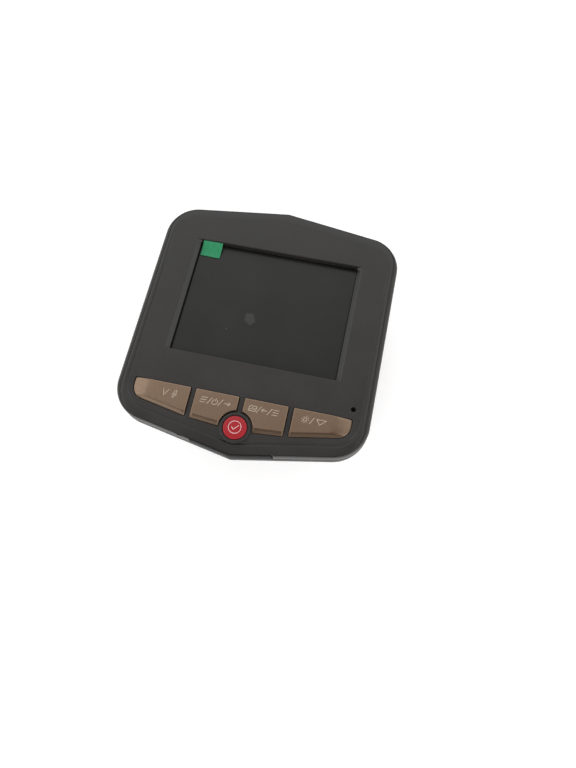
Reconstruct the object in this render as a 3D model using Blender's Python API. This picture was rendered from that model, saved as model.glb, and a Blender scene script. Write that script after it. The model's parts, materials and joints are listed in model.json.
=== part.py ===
"""Shield-shaped in-cab recorder: a palm-size dash camera lying face up on its lens ring.

Frame: the origin is on the resting plane, below the middle of the case.  +Z comes out of
the screen, +Y points to the top of the screen, +X to the right of somebody facing it.
Lengths in the constants are millimetres; add_solid turns them into metres.
"""
from math import atan2, cos, pi, radians, sin, sqrt, tan

import bmesh
import bpy

MM = 0.001
GAP = 0.3                       # clearance kept between neighbouring pieces
LAYER = 0.1                     # clearance kept between laminated layers

# Case outline: a shield with one apex above and one below
HALF_WIDTH = 33.0
APEX = 35.8
TOP_SLOPE = radians(7.6)
BOTTOM_SLOPE = radians(10.6)
TOP_CORNER = 8.8
BOTTOM_CORNER = 9.6
APEX_ROUND = 3.0
CORNER_STEPS = 7
APEX_STEPS = 2

# Levels of the case, from the far side up to the face
BACK = 16.0
BACK_ROUND = 2.0
BACK_PLATE = 1.6
BACK_INSIDE = BACK + BACK_PLATE
BACK_TAPER = 1.6                # how far the wall leans in by the time it meets the back
TAPER_FROM = 24.7
LEDGE = 23.7                    # the back shell's inner ledge, under the front shell's skirt
BACK_WALL = 3.2
BACK_TOP = 26.6
BAND_LOW = BACK_TOP + GAP
FACE = 30.0
FACE_PLATE = 1.7
PLATE_UNDER = FACE - FACE_PLATE

# Insets of the nested pieces round the face, at the sides and at the two ends
BAND_INSIDE = (1.2, 0.9)
BAND_LIP = (1.3, 0.3)
BAND_ROUND_FROM = 28.5
BAND_LIP_TOP = 29.75
BAND_LIP_LOW = 28.8
PLATE_EDGE = (1.5, 0.5)
PLATE_EDGE_LOW = 29.0
PLATE_ROUND = 0.4
SKIRT = (1.6, 1.2)
SKIRT_INSIDE = 2.6
SKIRT_LOW = LEDGE + GAP

# Shallow groove between the face panel and the rim
GROOVE_SIDE = 2.4
GROOVE_END = 3.1
GROOVE_WIDTH = 0.6
GROOVE_DEPTH = 0.3
GROOVE_FADE_FROM = 6.0
GROOVE_FADE_TO = 22.0

# Screen recess
WINDOW_HALF = 22.35             # at the floor
WINDOW_TOP = 22.7
WINDOW_BOTTOM = -11.1
WINDOW_DRAFT = 1.0              # widening of each side wall up to the face
WINDOW_MID = (WINDOW_TOP + WINDOW_BOTTOM) / 2
WINDOW_TALL = WINDOW_TOP - WINDOW_BOTTOM
TRAY_MARGIN = 2.0               # how far the screen's tray reaches past the window

# Keys
KEY_TOP = -20.6
KEY_MID_BOTTOM = -28.3          # lower edge in the middle of an outer gap
KEY_GAP_MID = 12.7
KEY_INNER = (0.75, 12.0)
KEY_OUTER = (13.4, 28.25)
KEY_END_ROUND = 3.6
INNER_SLOPE = radians(4.4)
KEY_LIP = 1.0                   # width of the bevel along the lower edge
KEY_TIP = 3.5                   # width of the bevel at the outer end
KEY_NOTCH = 4.4                 # notch round the collar of the round key
KEY_EDGE_RISE = 0.15
KEY_RISE = 0.65
KEY_FLANGE = 0.5
KEY_TRAVEL = 0.4
FLANGE_TOP = PLATE_UNDER - GAP
FLANGE_LOW = 27.2
OK_PLACE = (0.0, -28.7)
OK_RADIUS = 3.0
OK_RISE = 1.1
COLLAR_RADIUS = 4.1
COLLAR_RISE = 0.7
COLLAR_ROUND = 0.3

# Main board and the switches on it
BOARD_LOW = 19.4
BOARD_TOP = 21.0
BOARD_INSET = 3.5
ON_BOARD = BOARD_TOP + LAYER
SWITCH_SIDE = 4.5
SWITCH_TALL = 3.4
PLUNGER_RADIUS = 1.2
PLUNGER_ROOM = 0.9              # depth of the pocket that the plunger sinks into
SWITCH_PLACES = {"key_menu": (-20.0, -23.9), "key_power": (-7.6, -23.6), "key_mode": (7.6, -23.6),
                 "key_lamp": (20.0, -23.9), "key_ok": OK_PLACE}

# Lens side
LENS_PLACE = (0.0, 1.5)
RIM_INNER = 14.0
RIM_OUTER = 15.6
RING_OUTER = 16.3
RING_TALL = 3.0
BULGE_BORE = 15.0
BULGE_RADIUS = 16.8
BULGE_FLARE = 18.6
BARREL_HEAD = 7.2
BARREL_THREAD = 5.85
LAMP_CIRCLE = 10.5
LAMP_RADIUS = 1.5
LAMP_COUNT = 6

# Fasteners
CASE_SCREWS = ((-22.0, 27.05), (22.0, 27.05), (-27.4, -8.5), (27.4, -8.5))
BOARD_SCREWS = ((-14.5, 22.5), (14.0, -16.5))
BOSS = 2.0
BOSS_LOW = 21.8
SHANK = 0.8
SHANK_HOLE = SHANK + GAP
HEAD = 1.6
COUNTERBORE = HEAD + GAP

# Other inner pieces
SPEAKER_PLACE = (19.0, 15.5)
SPEAKER_RADIUS = 7.0
SPEAKER_TALL = 3.2
GRILLE_SLOTS = 5
GRILLE_PITCH = 2.0
GRILLE_HALF = 4.6               # half length of the middle slot
GRILLE_OFFSET = 1.2             # the grille's middle lies this far right of the speaker's
CARD_Y = 3.0
CARD_WIDE = 11.0
CARD_LONG = 15.0
CARD_LOW = 18.2
CARD_TOP = 18.9
CARD_OUT = -31.9
SOCKET_Y = 3.0
SOCKET_WIDE = 7.5
SOCKET_TALL = 2.6
SOCKET_WALL = 0.35
MIC_PLACE = (28.0, -17.9)
MIC_HOLE = 0.65
SOCKET_MOUTH = 32.2
PRY_NOTCH_X = -13.5
PRY_NOTCH_HALF = 0.6
PINHOLE_X = -13.5
PINHOLE_Z = 22.8
PINHOLE = 0.6
INSERT_HALF = 10.4
RAIL_HALF = 8.5
RAIL_LOW_Y = 25.4
RAIL_HIGH_Y = 33.0
RAIL_TOP = 21.6
SLOT_NECK = 4.6
SLOT_HALF = 6.6
SLOT_CEILING = 20.4
SLOT_LIP = 17.8
SLOT_WALL = 1.6                 # behind the slot's closed end
OUTSIDE = 40.0                  # past the case on every side, for cutters

# name: (sRGB colour, roughness, metallic)
FINISHES = {
    "black_abs": ("#403F3F", 0.45, 0.0), "gloss_black": ("#1C1C1E", 0.15, 0.0),
    "silver": ("#B4B3B1", 0.3, 1.0), "bronze": ("#8E7A6C", 0.35, 0.8),
    "red": ("#C8303C", 0.4, 0.0), "green_film": ("#2D8C64", 0.4, 0.0),
    "clear_film": ("#3A3B38", 0.15, 0.0), "lcd": ("#26272A", 0.1, 0.0),
    "white": ("#E8E8E4", 0.5, 0.0), "steel": ("#9A9B9C", 0.35, 1.0),
    "foam": ("#2A2A2A", 0.95, 0.0), "flex": ("#A8651E", 0.4, 0.0),
    "board": ("#1F5A34", 0.5, 0.0), "chip": ("#202022", 0.4, 0.0),
    "cell": ("#9FA4A8", 0.4, 0.5), "dark_nylon": ("#2B2B2D", 0.6, 0.0),
    "glass": ("#20262E", 0.03, 0.0), "lamp": ("#D8D8C8", 0.1, 0.0),
    "brass": ("#A9955A", 0.35, 1.0),
}


def linear(hex_colour):
    """Linear RGBA of an sRGB hex colour."""
    channels = [int(hex_colour[i:i + 2], 16) / 255 for i in (1, 3, 5)]
    bright = [c / 12.92 if c <= 0.04045 else ((c + 0.055) / 1.055) ** 2.4 for c in channels]
    return (*bright, 1.0)


def new_finish(name, finish):
    """One Principled material for the named sub-part."""
    colour, roughness, metallic = FINISHES[finish]
    material = bpy.data.materials.new(name + "_finish")
    material.use_nodes = True
    shader = material.node_tree.nodes["Principled BSDF"]
    shader.inputs["Base Color"].default_value = linear(colour)
    shader.inputs["Roughness"].default_value = roughness
    shader.inputs["Metallic"].default_value = metallic
    material.diffuse_color = linear(colour)
    return material


def add_solid(name, rings, closed=False, finish=None):
    """A solid skinned over rings of equal point counts, capped at both ends or closed on itself.

    A ring of one point is a pole.
    """
    points = []
    starts = []
    for ring in rings:
        starts.append(len(points))
        points += [(x * MM, y * MM, z * MM) for x, y, z in ring]
    faces = []
    pairs = list(zip(range(len(rings)), range(1, len(rings))))
    if closed:
        pairs.append((len(rings) - 1, 0))
    for low, high in pairs:
        count = max(len(rings[low]), len(rings[high]))
        for i in range(count):
            j = (i + 1) % count
            corners = [starts[low] + i % len(rings[low]), starts[low] + j % len(rings[low]),
                       starts[high] + j % len(rings[high]), starts[high] + i % len(rings[high])]
            faces.append(list(dict.fromkeys(corners)))
    if not closed:
        if len(rings[0]) > 1:
            faces.append([starts[0] + i for i in reversed(range(len(rings[0])))])
        if len(rings[-1]) > 1:
            faces.append([starts[-1] + i for i in range(len(rings[-1]))])
    mesh = bpy.data.meshes.new(name)
    mesh.from_pydata(points, [], faces)
    skin = bmesh.new()
    skin.from_mesh(mesh)
    bmesh.ops.recalc_face_normals(skin, faces=skin.faces)
    skin.to_mesh(mesh)
    skin.free()
    solid = bpy.data.objects.new(name, mesh)
    bpy.context.scene.collection.objects.link(solid)
    if finish:
        mesh.materials.append(new_finish(name, finish))
    return solid


def smooth(solid, angle=35):
    """Smooth shading with edges sharper than the angle kept crisp."""
    solid.data.shade_smooth()
    solid.data.set_sharp_from_angle(angle=radians(angle))
    return solid


def at_level(outline, z):
    """The outline's points at one height."""
    return [(x, y, z) for x, y in outline]


def prism(name, outline, low, high, finish=None):
    """The outline extruded from one height to another."""
    return add_solid(name, [at_level(outline, low), at_level(outline, high)], finish=finish)


def box_outline(x0, x1, y0, y1):
    """Corner points of a rectangle, anticlockwise."""
    return [(x0, y0), (x1, y0), (x1, y1), (x0, y1)]


def box(name, x_span, y_span, z_span, finish=None):
    """A rectangular block between pairs of limits."""
    return prism(name, box_outline(*x_span, *y_span), *z_span, finish=finish)


def square(centre, width, depth):
    """Corner points of a rectangle round a centre."""
    x, y = centre
    return box_outline(x - width / 2, x + width / 2, y - depth / 2, y + depth / 2)


def circle(centre, radius, steps=24):
    """Points of a circle, anticlockwise from +X."""
    return [(centre[0] + radius * cos(2 * pi * i / steps), centre[1] + radius * sin(2 * pi * i / steps))
            for i in range(steps)]


def turned(name, centre, profile, closed=False, steps=32, finish=None):
    """A round piece about an upright axis, from the (radius, height) points of its profile."""
    rings = []
    for radius, z in profile:
        flat = circle(centre, radius, steps) if radius > 0 else [tuple(centre)]
        rings.append(at_level(flat, z))
    return smooth(add_solid(name, rings, closed, finish))


def rounded(corners, radii, steps):
    """An anticlockwise polygon with an arc of the given radius and steps at each corner."""
    points = []
    for i, (x, y) in enumerate(corners):
        before = corners[i - 1]
        after = corners[(i + 1) % len(corners)]
        heading_in = atan2(y - before[1], x - before[0])
        heading_out = atan2(after[1] - y, after[0] - x)
        turn = (heading_out - heading_in + pi) % (2 * pi) - pi
        radius = radii[i]
        setback = radius * tan(turn / 2)
        centre_x = x - setback * cos(heading_in) - radius * sin(heading_in)
        centre_y = y - setback * sin(heading_in) + radius * cos(heading_in)
        for k in range(steps[i] + 1):
            heading = heading_in + turn * k / steps[i]
            points.append((centre_x + radius * sin(heading), centre_y - radius * cos(heading)))
    return points


def shield(side_inset, end_inset=None):
    """The case outline moved inwards, by its own amount at the sides and at the two ends."""
    if end_inset is None:
        end_inset = side_inset
    half = HALF_WIDTH - side_inset
    top = APEX - end_inset / cos(TOP_SLOPE)
    bottom = -APEX + end_inset / cos(BOTTOM_SLOPE)
    shoulder = top - half * tan(TOP_SLOPE)
    hip = bottom + half * tan(BOTTOM_SLOPE)
    corners = [(0, bottom), (half, hip), (half, shoulder), (0, top), (-half, shoulder), (-half, hip)]
    full = (APEX_ROUND, BOTTOM_CORNER, TOP_CORNER, APEX_ROUND, TOP_CORNER, BOTTOM_CORNER)
    steps = (APEX_STEPS, CORNER_STEPS, CORNER_STEPS, APEX_STEPS, CORNER_STEPS, CORNER_STEPS)
    return rounded(corners, [max(radius - side_inset, 0.5) for radius in full], steps)


def combine(target, tool, operation):
    """Applies the tool to the target with a live Boolean and hides the tool."""
    modifier = target.modifiers.new(tool.name, "BOOLEAN")
    modifier.operation = operation
    modifier.solver = "EXACT"
    modifier.object = tool
    tool.hide_render = True
    tool.display_type = "WIRE"
    return target


def cut(target, *tools):
    """Takes every tool out of the target."""
    for tool in tools:
        combine(target, tool, "DIFFERENCE")
    return target


def join(target, *tools):
    """Adds every tool to the target."""
    for tool in tools:
        combine(target, tool, "UNION")
    return target


def put_origin(solid, place):
    """Moves the object's origin to a point without moving its shape."""
    offset = [c * MM for c in place]
    for vertex in solid.data.vertices:
        vertex.co = [a - b for a, b in zip(vertex.co, offset)]
    solid.location = offset
    return solid


# Case -------------------------------------------------------------------------------------


def groove_ring(extra_side, extra_end, depth):
    """One ring of the face groove, which fades out towards the top of the case."""
    ring = []
    for x, y in shield(GROOVE_SIDE + extra_side, GROOVE_END + extra_end):
        fade = min(max((GROOVE_FADE_TO - y) / (GROOVE_FADE_TO - GROOVE_FADE_FROM), 0.0), 1.0)
        ring.append((x, y, FACE - depth * fade))
    return ring


def key_outline(name, grow=0.0, lip=0.0, tip=0.0):
    """Outline of a flat key, grown outwards, with its lower edge and outer end drawn in."""
    if name in ("key_menu", "key_lamp"):
        points = outer_key_outline(grow, lip, tip)
    else:
        points = inner_key_outline(grow, lip)
    if name in ("key_menu", "key_power"):
        points = [(-x, y) for x, y in reversed(points)]
    return points


def outer_key_outline(grow, lip, tip):
    """The right-hand wing key: straight top, sloping lower edge and a rounded outer end."""
    left = KEY_OUTER[0] - grow
    right = KEY_OUTER[1] + grow - tip
    top = KEY_TOP + grow
    drop = grow / cos(BOTTOM_SLOPE) - lip

    def lower(x):
        return KEY_MID_BOTTOM + (x - KEY_GAP_MID) * tan(BOTTOM_SLOPE) - drop

    corners = [(left, lower(left)), (right, lower(right)), (right, top), (left, top)]
    radii = [0.3 + max(grow, 0), KEY_END_ROUND + grow - tip / 4, 0.4 + max(grow, 0), 0.3 + max(grow, 0)]
    return rounded(corners, radii, (2, 8, 3, 2))


def inner_key_outline(grow, lip):
    """The key right of the middle: a rectangle notched round the round key's collar."""
    left = KEY_INNER[0] - grow
    right = KEY_INNER[1] + grow
    top = KEY_TOP + grow
    notch = KEY_NOTCH - min(grow, GAP)
    slope = tan(INNER_SLOPE)
    middle = KEY_MID_BOTTOM - KEY_GAP_MID * slope - grow / cos(INNER_SLOPE) + lip
    rise = middle - OK_PLACE[1]
    meet_x = (sqrt(notch ** 2 * (1 + slope ** 2) - rise ** 2) - rise * slope) / (1 + slope ** 2)
    start = atan2(rise + meet_x * slope, meet_x)
    end = pi / 2 - atan2(left, sqrt(notch ** 2 - left ** 2))
    corners = [(right, middle + right * slope), (right, top), (left, top)]
    radius = 0.3 + max(grow, 0)
    straight = [(meet_x, middle + meet_x * slope)] + rounded_open(corners, radius)
    arc = [(OK_PLACE[0] + notch * cos(end + (start - end) * k / 8),
            OK_PLACE[1] + notch * sin(end + (start - end) * k / 8)) for k in range(8)]
    return straight + arc


def rounded_open(corners, radius):
    """Right-angle corners of an inner key, each given as a three-point round."""
    points = []
    for i, (x, y) in enumerate(corners):
        inward_x = -1 if i < 2 else 1
        inward_y = 1 if i == 0 else -1
        first = [(x + inward_x * radius, y), (x, y + inward_y * radius)]
        if i == 1:
            first.reverse()
        middle = (x + inward_x * radius * 0.3, y + inward_y * radius * 0.3)
        points += [first[0], middle, first[1]]
    return points


def make_front_shell():
    """Screen-side moulding: face plate, rim, inner skirt, collar and four screw bosses."""
    rings = [at_level(shield(SKIRT_INSIDE), PLATE_UNDER), at_level(shield(SKIRT_INSIDE), SKIRT_LOW),
             at_level(shield(*SKIRT), SKIRT_LOW), at_level(shield(*SKIRT), PLATE_EDGE_LOW)]
    side, end = PLATE_EDGE
    rings.append(at_level(shield(side, end), PLATE_EDGE_LOW))
    for k in range(4):
        angle = radians(90) * k / 3
        inset = PLATE_ROUND * (1 - cos(angle))
        rings.append(at_level(shield(side + inset, end + inset), FACE - PLATE_ROUND * (1 - sin(angle))))
    half = GROOVE_WIDTH / 2
    rings += [groove_ring(-half, -half, 0.0), groove_ring(0, 0, GROOVE_DEPTH), groove_ring(half, half, 0.0)]
    shell = smooth(add_solid("front_shell", rings, finish="black_abs"))
    low = PLATE_UNDER - 1.0
    high = FACE + 1.0
    slope = WINDOW_DRAFT / FACE_PLATE
    window = []
    for z in (low, high):
        half_wide = WINDOW_HALF + (z - PLATE_UNDER) * slope
        corners = box_outline(-half_wide, half_wide, WINDOW_BOTTOM, WINDOW_TOP)
        window.append(at_level(rounded(corners, [0.8] * 4, [3] * 4), z))
    cut(shell, add_solid("window_cutter", window))
    for name in SWITCH_PLACES:
        if name != "key_ok":
            cut(shell, prism(name + "_cutter", key_outline(name, GAP), low, high))
    collar_top = FACE + COLLAR_RISE
    wall = [(COLLAR_RADIUS, PLATE_UNDER), (COLLAR_RADIUS, collar_top - COLLAR_ROUND),
            (COLLAR_RADIUS - COLLAR_ROUND, collar_top)]
    collar = turned("collar_tool", OK_PLACE, wall)
    ok_hole = prism("key_ok_cutter", circle(OK_PLACE, OK_RADIUS + GAP, 32), low - 1, high + 1)
    cut(join(shell, collar), ok_hole)
    cut(shell, prism("mic_hole_cutter", circle(MIC_PLACE, MIC_HOLE, 12), low, high))
    for i, place in enumerate(CASE_SCREWS):
        join(shell, prism(f"front_boss_{i}", circle(place, BOSS, 20), BOSS_LOW, PLATE_UNDER + 0.5))
    for i, place in enumerate(CASE_SCREWS):
        bore = circle(place, SHANK_HOLE, 16)
        cut(shell, prism(f"front_boss_bore_{i}", bore, BOSS_LOW - 1, PLATE_UNDER - 1))
    return shell


def side_rod(name, centre_x, centre_z, radius, span, steps=12, finish=None):
    """A round bar along Y between two places."""
    rings = [[(centre_x + radius * cos(2 * pi * i / steps), y, centre_z + radius * sin(2 * pi * i / steps))
              for i in range(steps)] for y in span]
    return smooth(add_solid(name, rings, finish=finish))


def make_back_shell():
    """Lens-side moulding: back plate, rounded wall, skirt, lens bulge and pillars."""
    rings = []
    for k in range(5):
        angle = radians(90) * k / 4
        inset = BACK_TAPER + BACK_ROUND * (1 - sin(angle))
        rings.append(at_level(shield(inset), BACK + BACK_ROUND * (1 - cos(angle))))
    rings += [at_level(shield(0.0), TAPER_FROM), at_level(shield(0.0), BACK_TOP),
              at_level(shield(*BAND_INSIDE), BACK_TOP), at_level(shield(*BAND_INSIDE), LEDGE),
              at_level(shield(BACK_WALL), LEDGE), at_level(shield(BACK_WALL), BACK_INSIDE)]
    shell = smooth(add_solid("back_shell", rings, finish="black_abs"))
    flare = [(BULGE_RADIUS - 0.6, RING_TALL + GAP), (BULGE_RADIUS, 4.2), (BULGE_RADIUS + 0.4, 13.2),
             (BULGE_RADIUS + 0.9, 15.0), (BULGE_FLARE, 16.4), (BULGE_FLARE, 17.2)]
    join(shell, turned("bulge_tool", LENS_PLACE, flare, steps=48))
    cut(shell, prism("bulge_bore_cutter", circle(LENS_PLACE, BULGE_BORE, 48), 0.0, 19.0))
    sunk = BACK_INSIDE - 0.4
    for i, place in enumerate(CASE_SCREWS):
        join(shell, prism(f"back_pillar_{i}", circle(place, BOSS + 0.2, 20), sunk, BOSS_LOW - GAP))
    for i, place in enumerate(BOARD_SCREWS):
        join(shell, prism(f"board_post_{i}", circle(place, BOSS - 0.2, 16), sunk, BOARD_LOW - GAP))
    for i, place in enumerate(CASE_SCREWS):
        cut(shell, prism(f"back_bore_{i}", circle(place, SHANK_HOLE, 16), BACK - 1, BOSS_LOW),
            prism(f"counterbore_{i}", circle(place, COUNTERBORE, 16), BACK - 1, BACK + 1.9))
    for i, place in enumerate(BOARD_SCREWS):
        cut(shell, prism(f"post_bore_{i}", circle(place, SHANK_HOLE, 12), BACK_INSIDE - 0.6, BOARD_TOP))
    reach = SOCKET_WIDE / 2 + GAP
    cut(shell, box("card_slot_cutter", (-OUTSIDE, -28.0), card_span(GAP), (CARD_LOW - GAP, CARD_TOP + GAP)),
        box("power_cutter", (28.0, OUTSIDE), (SOCKET_Y - reach, SOCKET_Y + reach),
            (ON_BOARD - GAP, ON_BOARD + SOCKET_TALL + GAP)),
        side_rod("pinhole_cutter", PINHOLE_X, PINHOLE_Z, PINHOLE, (-36.0, -28.5)))
    cut(shell, box("rail_cutter", (-RAIL_HALF - GAP, RAIL_HALF + GAP), (RAIL_LOW_Y - GAP, OUTSIDE),
                   (BACK - 1, RAIL_TOP + GAP)))
    slot_x = SPEAKER_PLACE[0] + GRILLE_OFFSET
    for i in range(GRILLE_SLOTS):
        step = i - GRILLE_SLOTS // 2
        slot_y = SPEAKER_PLACE[1] + GRILLE_PITCH * step
        reach = GRILLE_HALF - 0.5 * abs(step)
        cut(shell, box(f"speaker_slot_{i}", (slot_x - reach, slot_x + reach), (slot_y - 0.4, slot_y + 0.4),
                       (BACK - 1, BACK_INSIDE + 1)))
    return shell


def card_span(spare):
    """The card's two sides, each moved out by the spare."""
    return (CARD_Y - CARD_WIDE / 2 - spare, CARD_Y + CARD_WIDE / 2 + spare)


def band_ring(name, finish):
    """Full ring of the rim that wraps the face plate's edge and runs down to the back shell."""
    side, end = BAND_LIP
    rings = [at_level(shield(0.0), BAND_LOW)]
    for k in range(5):
        angle = radians(90) * k / 4
        draw = 1 - cos(angle)
        rings.append(at_level(shield(side * draw, end * draw),
                              BAND_ROUND_FROM + (BAND_LIP_TOP - BAND_ROUND_FROM) * sin(angle)))
    rings += [at_level(shield(*BAND_LIP), BAND_LIP_LOW), at_level(shield(*BAND_INSIDE), BAND_LIP_LOW),
              at_level(shield(*BAND_INSIDE), BAND_LOW)]
    return smooth(add_solid(name, rings, closed=True, finish=finish))


def make_trim_band():
    """The rim's long piece, open at the bottom middle, with a small notch to pry it off."""
    band = band_ring("trim_band", "silver")
    gap_half = INSERT_HALF + GAP
    cut(band, box("band_gap_cutter", (-gap_half, gap_half), (-OUTSIDE, -25.0), (20.0, 32.0)))
    notch = (PRY_NOTCH_X - PRY_NOTCH_HALF, PRY_NOTCH_X + PRY_NOTCH_HALF)
    return cut(band, box("pry_notch_cutter", notch, (-OUTSIDE, -25.0), (FACE - 0.8, FACE)))


def make_bottom_insert():
    """The rim's short piece that fills the band's opening."""
    insert = band_ring("bottom_insert", "gloss_black")
    keeper = box("insert_keeper", (-INSERT_HALF, INSERT_HALF), (-OUTSIDE, -25.0), (20.0, 32.0))
    return combine(insert, keeper, "INTERSECT")


def make_mount_rail():
    """Insert in the top of the back with a T-slot that a bracket's tongue slides into."""
    span = (RAIL_LOW_Y, RAIL_HIGH_Y)
    rail = box("mount_rail", (-RAIL_HALF, RAIL_HALF), span, (BACK, RAIL_TOP), "dark_nylon")
    slot = (RAIL_LOW_Y + SLOT_WALL, OUTSIDE)
    return cut(rail, box("slot_neck_cutter", (-SLOT_NECK, SLOT_NECK), slot, (BACK - 1, SLOT_LIP + 1)),
               box("slot_cutter", (-SLOT_HALF, SLOT_HALF), slot, (SLOT_LIP, SLOT_CEILING)))


# Screen -----------------------------------------------------------------------------------


def screen_outline(margin, radius):
    """A rectangle round the window's middle, larger than the window by the margin."""
    half_wide = WINDOW_HALF + margin
    half_tall = WINDOW_TALL / 2 + margin
    corners = box_outline(-half_wide, half_wide, WINDOW_MID - half_tall, WINDOW_MID + half_tall)
    return rounded(corners, [radius] * 4, [2] * 4)


def screen_frame(name, margins, span, finish):
    """A rectangular ring between two margins."""
    outer, inner = (screen_outline(margin, 0.8) for margin in margins)
    low, high = span
    rings = [at_level(outer, low), at_level(outer, high), at_level(inner, high), at_level(inner, low)]
    return add_solid(name, rings, closed=True, finish=finish)


def make_screen():
    """Film, pull tab, glass, backlight, tray and gasket, in order below the window."""
    prism("protective_film", screen_outline(-GAP, 0.4), 28.15, 28.3, "clear_film")
    prism("lcd_glass", screen_outline(0.8, 0.4), 27.1, 28.05, "lcd")
    prism("backlight_panel", screen_outline(0.8, 0.4), 26.1, 27.0, "white")
    outer = screen_outline(TRAY_MARGIN, 0.8)
    inner = screen_outline(1.1, 0.5)
    tray = [at_level(outer, 25.3), at_level(outer, 27.4), at_level(inner, 27.4), at_level(inner, 26.0)]
    add_solid("lcd_tray", tray, finish="steel")
    screen_frame("screen_gasket", (TRAY_MARGIN - 0.1, 1.1), (27.5, 28.1), "foam")
    make_pull_tab()
    make_flex()


def make_pull_tab():
    """Green tab on the film's top left corner, its upper end lifted off the film."""
    thick = 0.12
    steps = 5
    rings = []
    for k in range(steps + 1):
        share = k / steps
        left = 0.25 * share - 21.9
        right = left + 5.6
        y = 18.0 + 4.2 * share
        low = PLATE_UNDER + 0.12 + 1.1 * share ** 2
        high = low + thick
        rings.append([(left, y, low), (left, y, high), (right, y, high), (right, y, low)])
    return add_solid("film_pull_tab", rings, finish="green_film")


def make_flex():
    """Ribbon that leaves the tray's lower edge and doubles back to its socket on the board."""
    start_y = WINDOW_BOTTOM - TRAY_MARGIN - GAP
    high = 26.6
    low = 22.0
    bend = (high - low) / 2
    centre_z = (high + low) / 2
    path = [(start_y, high)]
    for k in range(9):
        angle = pi / 2 + pi * k / 8
        path.append((start_y - 0.2 + bend * cos(angle), centre_z + bend * sin(angle)))
    path.append((start_y + 1.0, low))
    half = 6.0
    thick = 0.15
    rings = []
    for i, (y, z) in enumerate(path):
        before = path[max(i - 1, 0)]
        after = path[min(i + 1, len(path) - 1)]
        length = sqrt((after[0] - before[0]) ** 2 + (after[1] - before[1]) ** 2)
        normal_y = -(after[1] - before[1]) / length * thick / 2
        normal_z = (after[0] - before[0]) / length * thick / 2
        rings.append([(-half, y - normal_y, z - normal_z), (half, y - normal_y, z - normal_z),
                      (half, y + normal_y, z + normal_z), (-half, y + normal_y, z + normal_z)])
    flex = smooth(add_solid("lcd_flex", rings, finish="flex"))
    box("lcd_connector", (-7.0, 7.0), (start_y + 1.2, start_y + 4.4), (ON_BOARD, ON_BOARD + 1.5), "chip")
    return flex


# Keys and switches ------------------------------------------------------------------------


def make_flat_key(name):
    """A wing or middle key: retaining flange, straight side, bevelled lower edge, flat top."""
    top = FACE + KEY_RISE
    edge = FACE + KEY_EDGE_RISE
    tip = KEY_TIP if name in ("key_menu", "key_lamp") else 0.0
    flange = key_outline(name, KEY_FLANGE)
    side = key_outline(name)
    crown = key_outline(name, -0.12, KEY_LIP, tip)
    rings = [at_level(flange, FLANGE_LOW), at_level(flange, FLANGE_TOP), at_level(side, FLANGE_TOP),
             at_level(side, edge), at_level(crown, top)]
    key = smooth(add_solid(name, rings, finish="bronze"))
    return put_origin(key, (*SWITCH_PLACES[name], FLANGE_LOW))


def make_ok_key():
    """The round key: flange, side and a shallow rounded top."""
    top = FACE + OK_RISE
    flange = OK_RADIUS + KEY_FLANGE
    profile = [(flange, FLANGE_LOW), (flange, FLANGE_TOP), (OK_RADIUS, FLANGE_TOP), (OK_RADIUS, top - 0.45),
               (OK_RADIUS - 0.15, top - 0.2), (OK_RADIUS - 0.5, top - 0.08), (0, top)]
    return put_origin(turned("key_ok", OK_PLACE, profile, finish="red"), (*OK_PLACE, FLANGE_LOW))


def make_switch(name, place):
    """A square tact switch on the board and the plunger that the key rests on."""
    top = ON_BOARD + SWITCH_TALL
    short = name.replace("key_", "")
    body = prism("switch_" + short, square(place, SWITCH_SIDE, SWITCH_SIDE), ON_BOARD, top, "steel")
    pocket = circle(place, PLUNGER_RADIUS + GAP, 20)
    cut(body, prism("switch_pocket_" + short, pocket, top - PLUNGER_ROOM, top + 1))
    low = top - PLUNGER_ROOM + KEY_TRAVEL + LAYER
    profile = [(PLUNGER_RADIUS, low), (PLUNGER_RADIUS, FLANGE_LOW - LAYER)]
    plunger = turned("plunger_" + short, place, profile, steps=20, finish="chip")
    return put_origin(plunger, (*place, top))


def make_reset():
    """Side-facing reset switch behind the pinhole, with its own small plunger."""
    span = (PINHOLE_X - 2.0, PINHOLE_X + 2.0)
    body = box("reset_switch", span, (-28.0, -25.2), (ON_BOARD, PINHOLE_Z + 1.1), "steel")
    cut(body, side_rod("reset_pocket", PINHOLE_X, PINHOLE_Z, PINHOLE + GAP, (-29.0, -27.2)))
    plunger = side_rod("reset_plunger", PINHOLE_X, PINHOLE_Z, PINHOLE, (-29.2, -27.8), finish="white")
    put_origin(plunger, (PINHOLE_X, -29.2, PINHOLE_Z))


# Board and what it carries ----------------------------------------------------------------


def make_board():
    """Main board, notched round the pillars and the rail, with its two chips and the battery."""
    board = prism("main_board", shield(BOARD_INSET), BOARD_LOW, BOARD_TOP, "board")
    low = BOARD_LOW - 1
    high = BOARD_TOP + 1
    for i, place in enumerate(CASE_SCREWS):
        cut(board, prism(f"board_notch_{i}", circle(place, BOSS + 0.2 + GAP, 16), low, high))
    for i, place in enumerate(BOARD_SCREWS):
        cut(board, prism(f"board_hole_{i}", circle(place, SHANK_HOLE, 12), low, high))
    rail_reach = RAIL_HALF + 2 * GAP
    cut(board, prism("board_speaker_hole", circle(SPEAKER_PLACE, SPEAKER_RADIUS + GAP, 32), low, high),
        box("board_rail_notch", (-rail_reach, rail_reach), (RAIL_LOW_Y - 2 * GAP, 40), (low, high)))
    box("processor", (11.5, 21.5), (-6.0, 4.0), (ON_BOARD, ON_BOARD + 1.2), "chip")
    box("flash_chip", (14.0, 22.0), (-13.5, -7.5), (ON_BOARD, ON_BOARD + 1.0), "chip")
    cell = rounded(box_outline(-23.0, 8.0, -5.0, 19.0), [1.2] * 4, [3] * 4)
    prism("battery", cell, ON_BOARD + 0.4, ON_BOARD + 3.6, "cell")
    return board


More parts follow.
